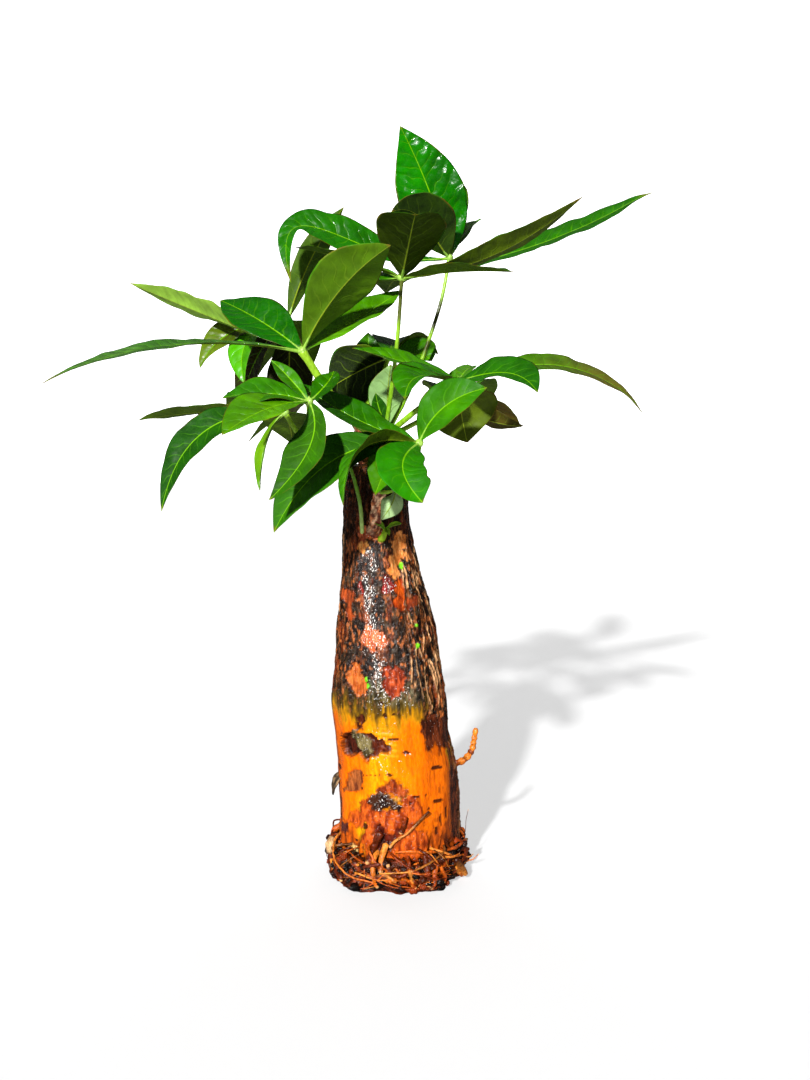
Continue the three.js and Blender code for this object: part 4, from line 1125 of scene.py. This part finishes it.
def rib_point(base, tip, bow, late, t):
    """Where the midrib is at the share t of its way from base to tip."""
    s = t ** late
    bent = np.array(bow, float) * (4 * s * (1 - s))[:, None]
    return base + (np.array(tip, float) - base) * t[:, None] + bent


# The places across a leaflet, from edge to midrib to edge
ACROSS = np.array([-1, -0.94, -0.82, -0.66, -0.5, -0.34, -0.2, -0.1, -0.04, 0])
ACROSS = np.concatenate([ACROSS, -ACROSS[-2::-1]])
# Tops of the leaflets in turn, and what a leaflet is like where LEAVES says nothing else: how far
# towards the tip it is widest, how late it bows, how steeply it folds, how far its tip hooks down,
# how dull and how puckered it is, how much its end is widened, where its brown tip starts, the
# colour of its underside, with painted shade in its dark olive, and a second colour for its far half
TOPS = [(48, 116, 0), (64, 130, 0), (38, 100, 0), (56, 122, 0), (78, 140, 0)]
PLAIN = dict(full=1.12, late=1, fold=0.22, hook=0, dull=1.2, pucker=2.2, blunt=0, brown_from=0.965,
             under=(76, 106, 2), far=None)
# Millimetres: half the thickness of a blade, the depth of the midrib under it and of the trough over it
HALF_BLADE = 0.2
RIB_DEPTH = 0.5
TROUGH = 0.45
# How dull a leaflet is from which its top is the matt one
MATT_FROM = 1.5


def leaflet(body, base, blade, plain_top, seed, rows=64):
    """One blade from base to its tip. seed gives it its own waves and mottling."""
    tip, wide, bow, face = blade[:4]
    look = {**PLAIN, "top": plain_top, **(blade[4] if len(blade) > 4 else {})}
    top_colour = lin(*look["top"])
    # the underside colour, which carries the painted light and shade given in LEAVES
    under_colour = lin(*look["under"])

    def rib_at(share):
        return rib_point(base, tip, bow, look["late"], share)

    t = np.linspace(0, 1, rows + 1)
    rib = rib_at(t)
    rib[:, 2] -= look["hook"] * np.clip((t - 0.88) / 0.12, 0, 1) ** 2
    along = unit(rib_at(np.minimum(t + 0.02, 1)) - rib_at(np.maximum(t - 0.02, 0)))
    side = unit(np.cross(along, np.array(face, float)))
    up = np.cross(side, along)
    length = float(np.linalg.norm(np.diff(rib, axis=0), axis=1).sum())
    outline = np.maximum(np.sin(math.pi * t ** look["full"]), 0) ** 0.85 * (1 - 0.25 * t ** 6)
    half = np.maximum(wide / 2 * outline, np.where(t < 0.5, 0.7, 0.12))[:, None]
    u = ACROSS[None, :]
    tt = t[:, None]
    off = np.abs(u)

    # the fold along the midrib, its trough, waves at the edge and the quilting between the veins
    phase = 6.28 * scatter(seed, 31)
    lift = off * half * (look["fold"] + 0.05 * np.sin(11 * tt + 2 * u))
    swell = np.sin(math.pi * np.clip(tt, 0, 1)) ** 0.5
    lift = lift - TROUGH * np.exp(-((u * half / 1.2) ** 2)) * swell
    wave = np.sin(tt * length / 3.1 + phase + 1.3 * np.sign(u))
    wave = wave + 0.6 * np.sin(tt * length / 5.3 + 2 * phase)
    lift = lift + 0.26 * wave * u ** 4 * half / 11
    rim = half * (1 + 0.008 * np.sin(tt * length / 2.3 + phase))
    if look["blunt"]:
        late = look["blunt"] * step(0.74, 0.96, tt)
        inner = 1 - 0.27 * np.exp(-(((tt - 0.5) / 0.2) ** 2)) + late
        rim = rim * np.where(u < 0, inner, 1 + 0.3 * late)
    middle = rib[:, None] + side[:, None] * (u * rim)[..., None]
    quilt = fbm(middle, 9.0, seed + 9, 2) - 0.5
    lift = lift + look["pucker"] * quilt * swell * np.minimum(off * 2, 1)
    middle = middle + up[:, None] * lift[..., None]
    thick = (HALF_BLADE * (1 - 0.75 * u ** 2))[..., None] * up[:, None]
    ridge_under = (RIB_DEPTH * (1 - tt) * np.exp(-((u * half / 0.9) ** 2)))[..., None] * up[:, None]
    under = (middle - thick - ridge_under)[:, ::-1][:, 1:-1]
    points = np.concatenate([middle + thick, under], 1)
    u_all = np.concatenate([u, u[:, ::-1][:, 1:-1]], 1) * np.ones_like(tt)
    t_all = tt * np.ones_like(u_all)
    uv = np.stack([u_all * half, t_all * length], -1)
    facts = np.stack([np.abs(u_all), t_all, np.full_like(u_all, look["dull"])], -1)

    # colours: mottled, paler along the midrib, one half lighter and the other darker as painted light,
    # brown at the edge and the tip
    darker = top_colour * np.array([0.62, 0.78, 0.6])
    tone = blend(top_colour, darker, step(0.35, 0.65, fbm(points, 22, seed)))
    tone = blend(tone, tone * np.array([1.5, 1.16, 1.2]), step(0.5, 0.0, np.abs(u_all)) * 0.5)
    # painted light and shade: one half of the blade lighter, the other darker, as if the fold turned them
    # to and from the light
    lighter = 1 if scatter(seed, 33) < 0.5 else -1
    tone = tone * (1 + 0.12 * np.sign(u_all) * lighter)[..., None]
    pale = blend(under_colour, under_colour * 0.8, step(0.35, 0.65, fbm(points, 18, seed + 5)))
    column = np.arange(points.shape[1])
    tone = np.where((column >= len(ACROSS))[None, :, None], pale, tone)
    brown = step(0.955, 1.0, np.abs(u_all)) * step(0.42, 0.62, fbm(points, 9, seed + 3)) * 0.8
    brown = np.maximum(brown, step(look["brown_from"], 1.0, t_all) * 0.8)
    if look["far"]:
        outer = step(0.35, 0.85, t_all + 0.2 * (fbm(points, 14, seed + 4) - 0.5)) * 0.85
        tone = layers(tone, (look["far"], outer))
    tone = layers(tone, ((120, 82, 20), brown), ((150, 190, 60), step(0.06, 0.0, t_all) * 0.8))
    top_slot = MATT_SLOT if look["dull"] > MATT_FROM else 0
    slots = np.where(column < len(ACROSS) - 1, top_slot, UNDER_SLOT)
    body.grid(points, tone, uv=uv, facts=facts, slot=slots)

    # the thick start of the midrib, under the blade
    count = int(rows * 0.2) + 1
    if count > 3:
        path = rib[:count] - up[:count] * 0.35
        tube(body, path, np.linspace(0.95, 0.3, count), lin(140, 186, 62), sides=8, slot=STALK_SLOT)


def make_leaf(name, number, stalk, radii, blades):
    body = Body()
    hub = np.array(stalk[-1], float)
    for k, blade in enumerate(blades):
        plain_top = TOPS[(number * 3 + k) % 5]
        leaflet(body, hub, blade, plain_top, number * 10 + k, rows=64)
    steps = 48
    path = curve(stalk, steps)
    share = np.linspace(0, 1, steps + 1)
    radius = mix(*radii, share) * (1 + 0.25 * step(0.92, 1, share) + 0.3 * step(0.1, 0, share))
    tint = two_tones((112, 166, 8), (150, 196, 40), share)
    tint = layers(tint, ((150, 196, 110), step(0.12, 0.0, share) * 0.5))
    if name == "leaf_g":
        radius = radius * 0.75
        dark = step(0.3, 0.42, noise(path, 7, 3)) * step(0.4, 0.5, share) * step(0.82, 0.74, share)
        tint = layers(tint, ((46, 40, 8), dark * 0.92))
    if name == "leaf_a":
        radius = radius * 0.72
        # painted shade: the top of the stalk darker brown, where the leaflets above shade it
        tint = layers(tint, ((62, 50, 14), step(0.68, 0.76, share) * 0.85))
    tube(body, path, radius, tint, sides=14, slot=STALK_SLOT, rough=0.15, seed=number)
    lump(body, hub, 2.1, lin(158, 200, 84), number, slot=STALK_SLOT, sides=12, rings=8)
    return body.piece(name + "_blades", LEAF_SLOTS)


# Putting the plant together

def stands_for(piece, node):
    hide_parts(node)


for make in (make_trunk, make_roots, make_chip):
    stands_for(make(), "trunk")
stands_for(make_soil(), "soil")
for name, (route, radii, woody) in SHOOTS.items():
    stands_for(make_shoot(name, route, radii, woody), name)
make_bud()
for number, (name, leaf) in enumerate(LEAVES.items()):
    stands_for(make_leaf(name, number, *leaf), name)


# Studio

def plane(name, corners, grey, glow):
    """A flat pale sheet. Like a white sheet far off, it doesn't mirror itself in the wet plant."""
    mesh = bpy.data.meshes.new(name)
    mesh.from_pydata(corners, [], [(0, 1, 2, 3)])
    mesh.materials.append(Nodes(name).finish((grey, grey, grey, 1), 0.9, Specular_IOR_Level=0.1,
                                             Emission_Color=(1, 1, 1, 1), Emission_Strength=glow))
    made = put_in_scene(name, mesh)
    made.visible_glossy = False
    return made


FLOOR_GREY, FLOOR_GLOW = 0.33, 0.52
WALL_GREY, WALL_GLOW = 0.5, 0.94
plane("floor", [(-9, -9, 0), (9, -9, 0), (9, 9, 0), (-9, 9, 0)], FLOOR_GREY, FLOOR_GLOW)
plane("backdrop", [(-4, 2.6, 0), (4, 2.6, 0), (4, 2.6, 3.2), (-4, 2.6, 3.2)], WALL_GREY, WALL_GLOW)

# Pale walls all round, in metres, that neither light the plant nor mirror in it
WALL_DISTANCE = 8.5
WALL_HEIGHT = 8
for turn in range(8):
    low = [polar(WALL_DISTANCE, math.radians(45 * turn + half), 0) for half in (-22.5, 22.5)]
    high = [(x, y, WALL_HEIGHT) for x, y, _ in low[::-1]]
    wall = plane("wall_%d" % turn, low + high, WALL_GREY, WALL_GLOW)
    wall.visible_diffuse = wall.visible_shadow = False


def sun(name, power, angle, towards):
    lamp = bpy.data.lights.new(name, "SUN")
    lamp.energy = power
    lamp.angle = math.radians(angle)
    put_in_scene(name, lamp).rotation_euler = Vector(towards).to_track_quat("-Z", "Y").to_euler()


sun("key", 7.4, 2.5, (0.27, 0.85, -0.47))
world = bpy.data.worlds.new("studio")
world.use_nodes = True
world.node_tree.nodes["Background"].inputs["Color"].default_value = (1, 1, 1, 1)
world.node_tree.nodes["Background"].inputs["Strength"].default_value = 0.09
bpy.context.scene.world = world
bpy.context.scene.view_settings.view_transform = "Standard"

# The camera looks a little down on the middle of the plant. Metres and degrees.
CAMERA_DISTANCE = 0.62
CAMERA_X = 0.0025
TARGET_HEIGHT = 0.17
HALF_VIEW = 0.27
tilt = math.radians(7)
lens = bpy.data.cameras.new("camera")
lens.sensor_fit = "AUTO"
lens.sensor_width = 36
lens.lens = 18 / (HALF_VIEW / CAMERA_DISTANCE)
camera = put_in_scene("camera", lens)
back, rise = CAMERA_DISTANCE * math.cos(tilt), CAMERA_DISTANCE * math.sin(tilt)
camera.location = (CAMERA_X, -back, TARGET_HEIGHT + rise)
camera.rotation_euler = (math.radians(90) - tilt, 0, 0)
bpy.context.scene.camera = camera
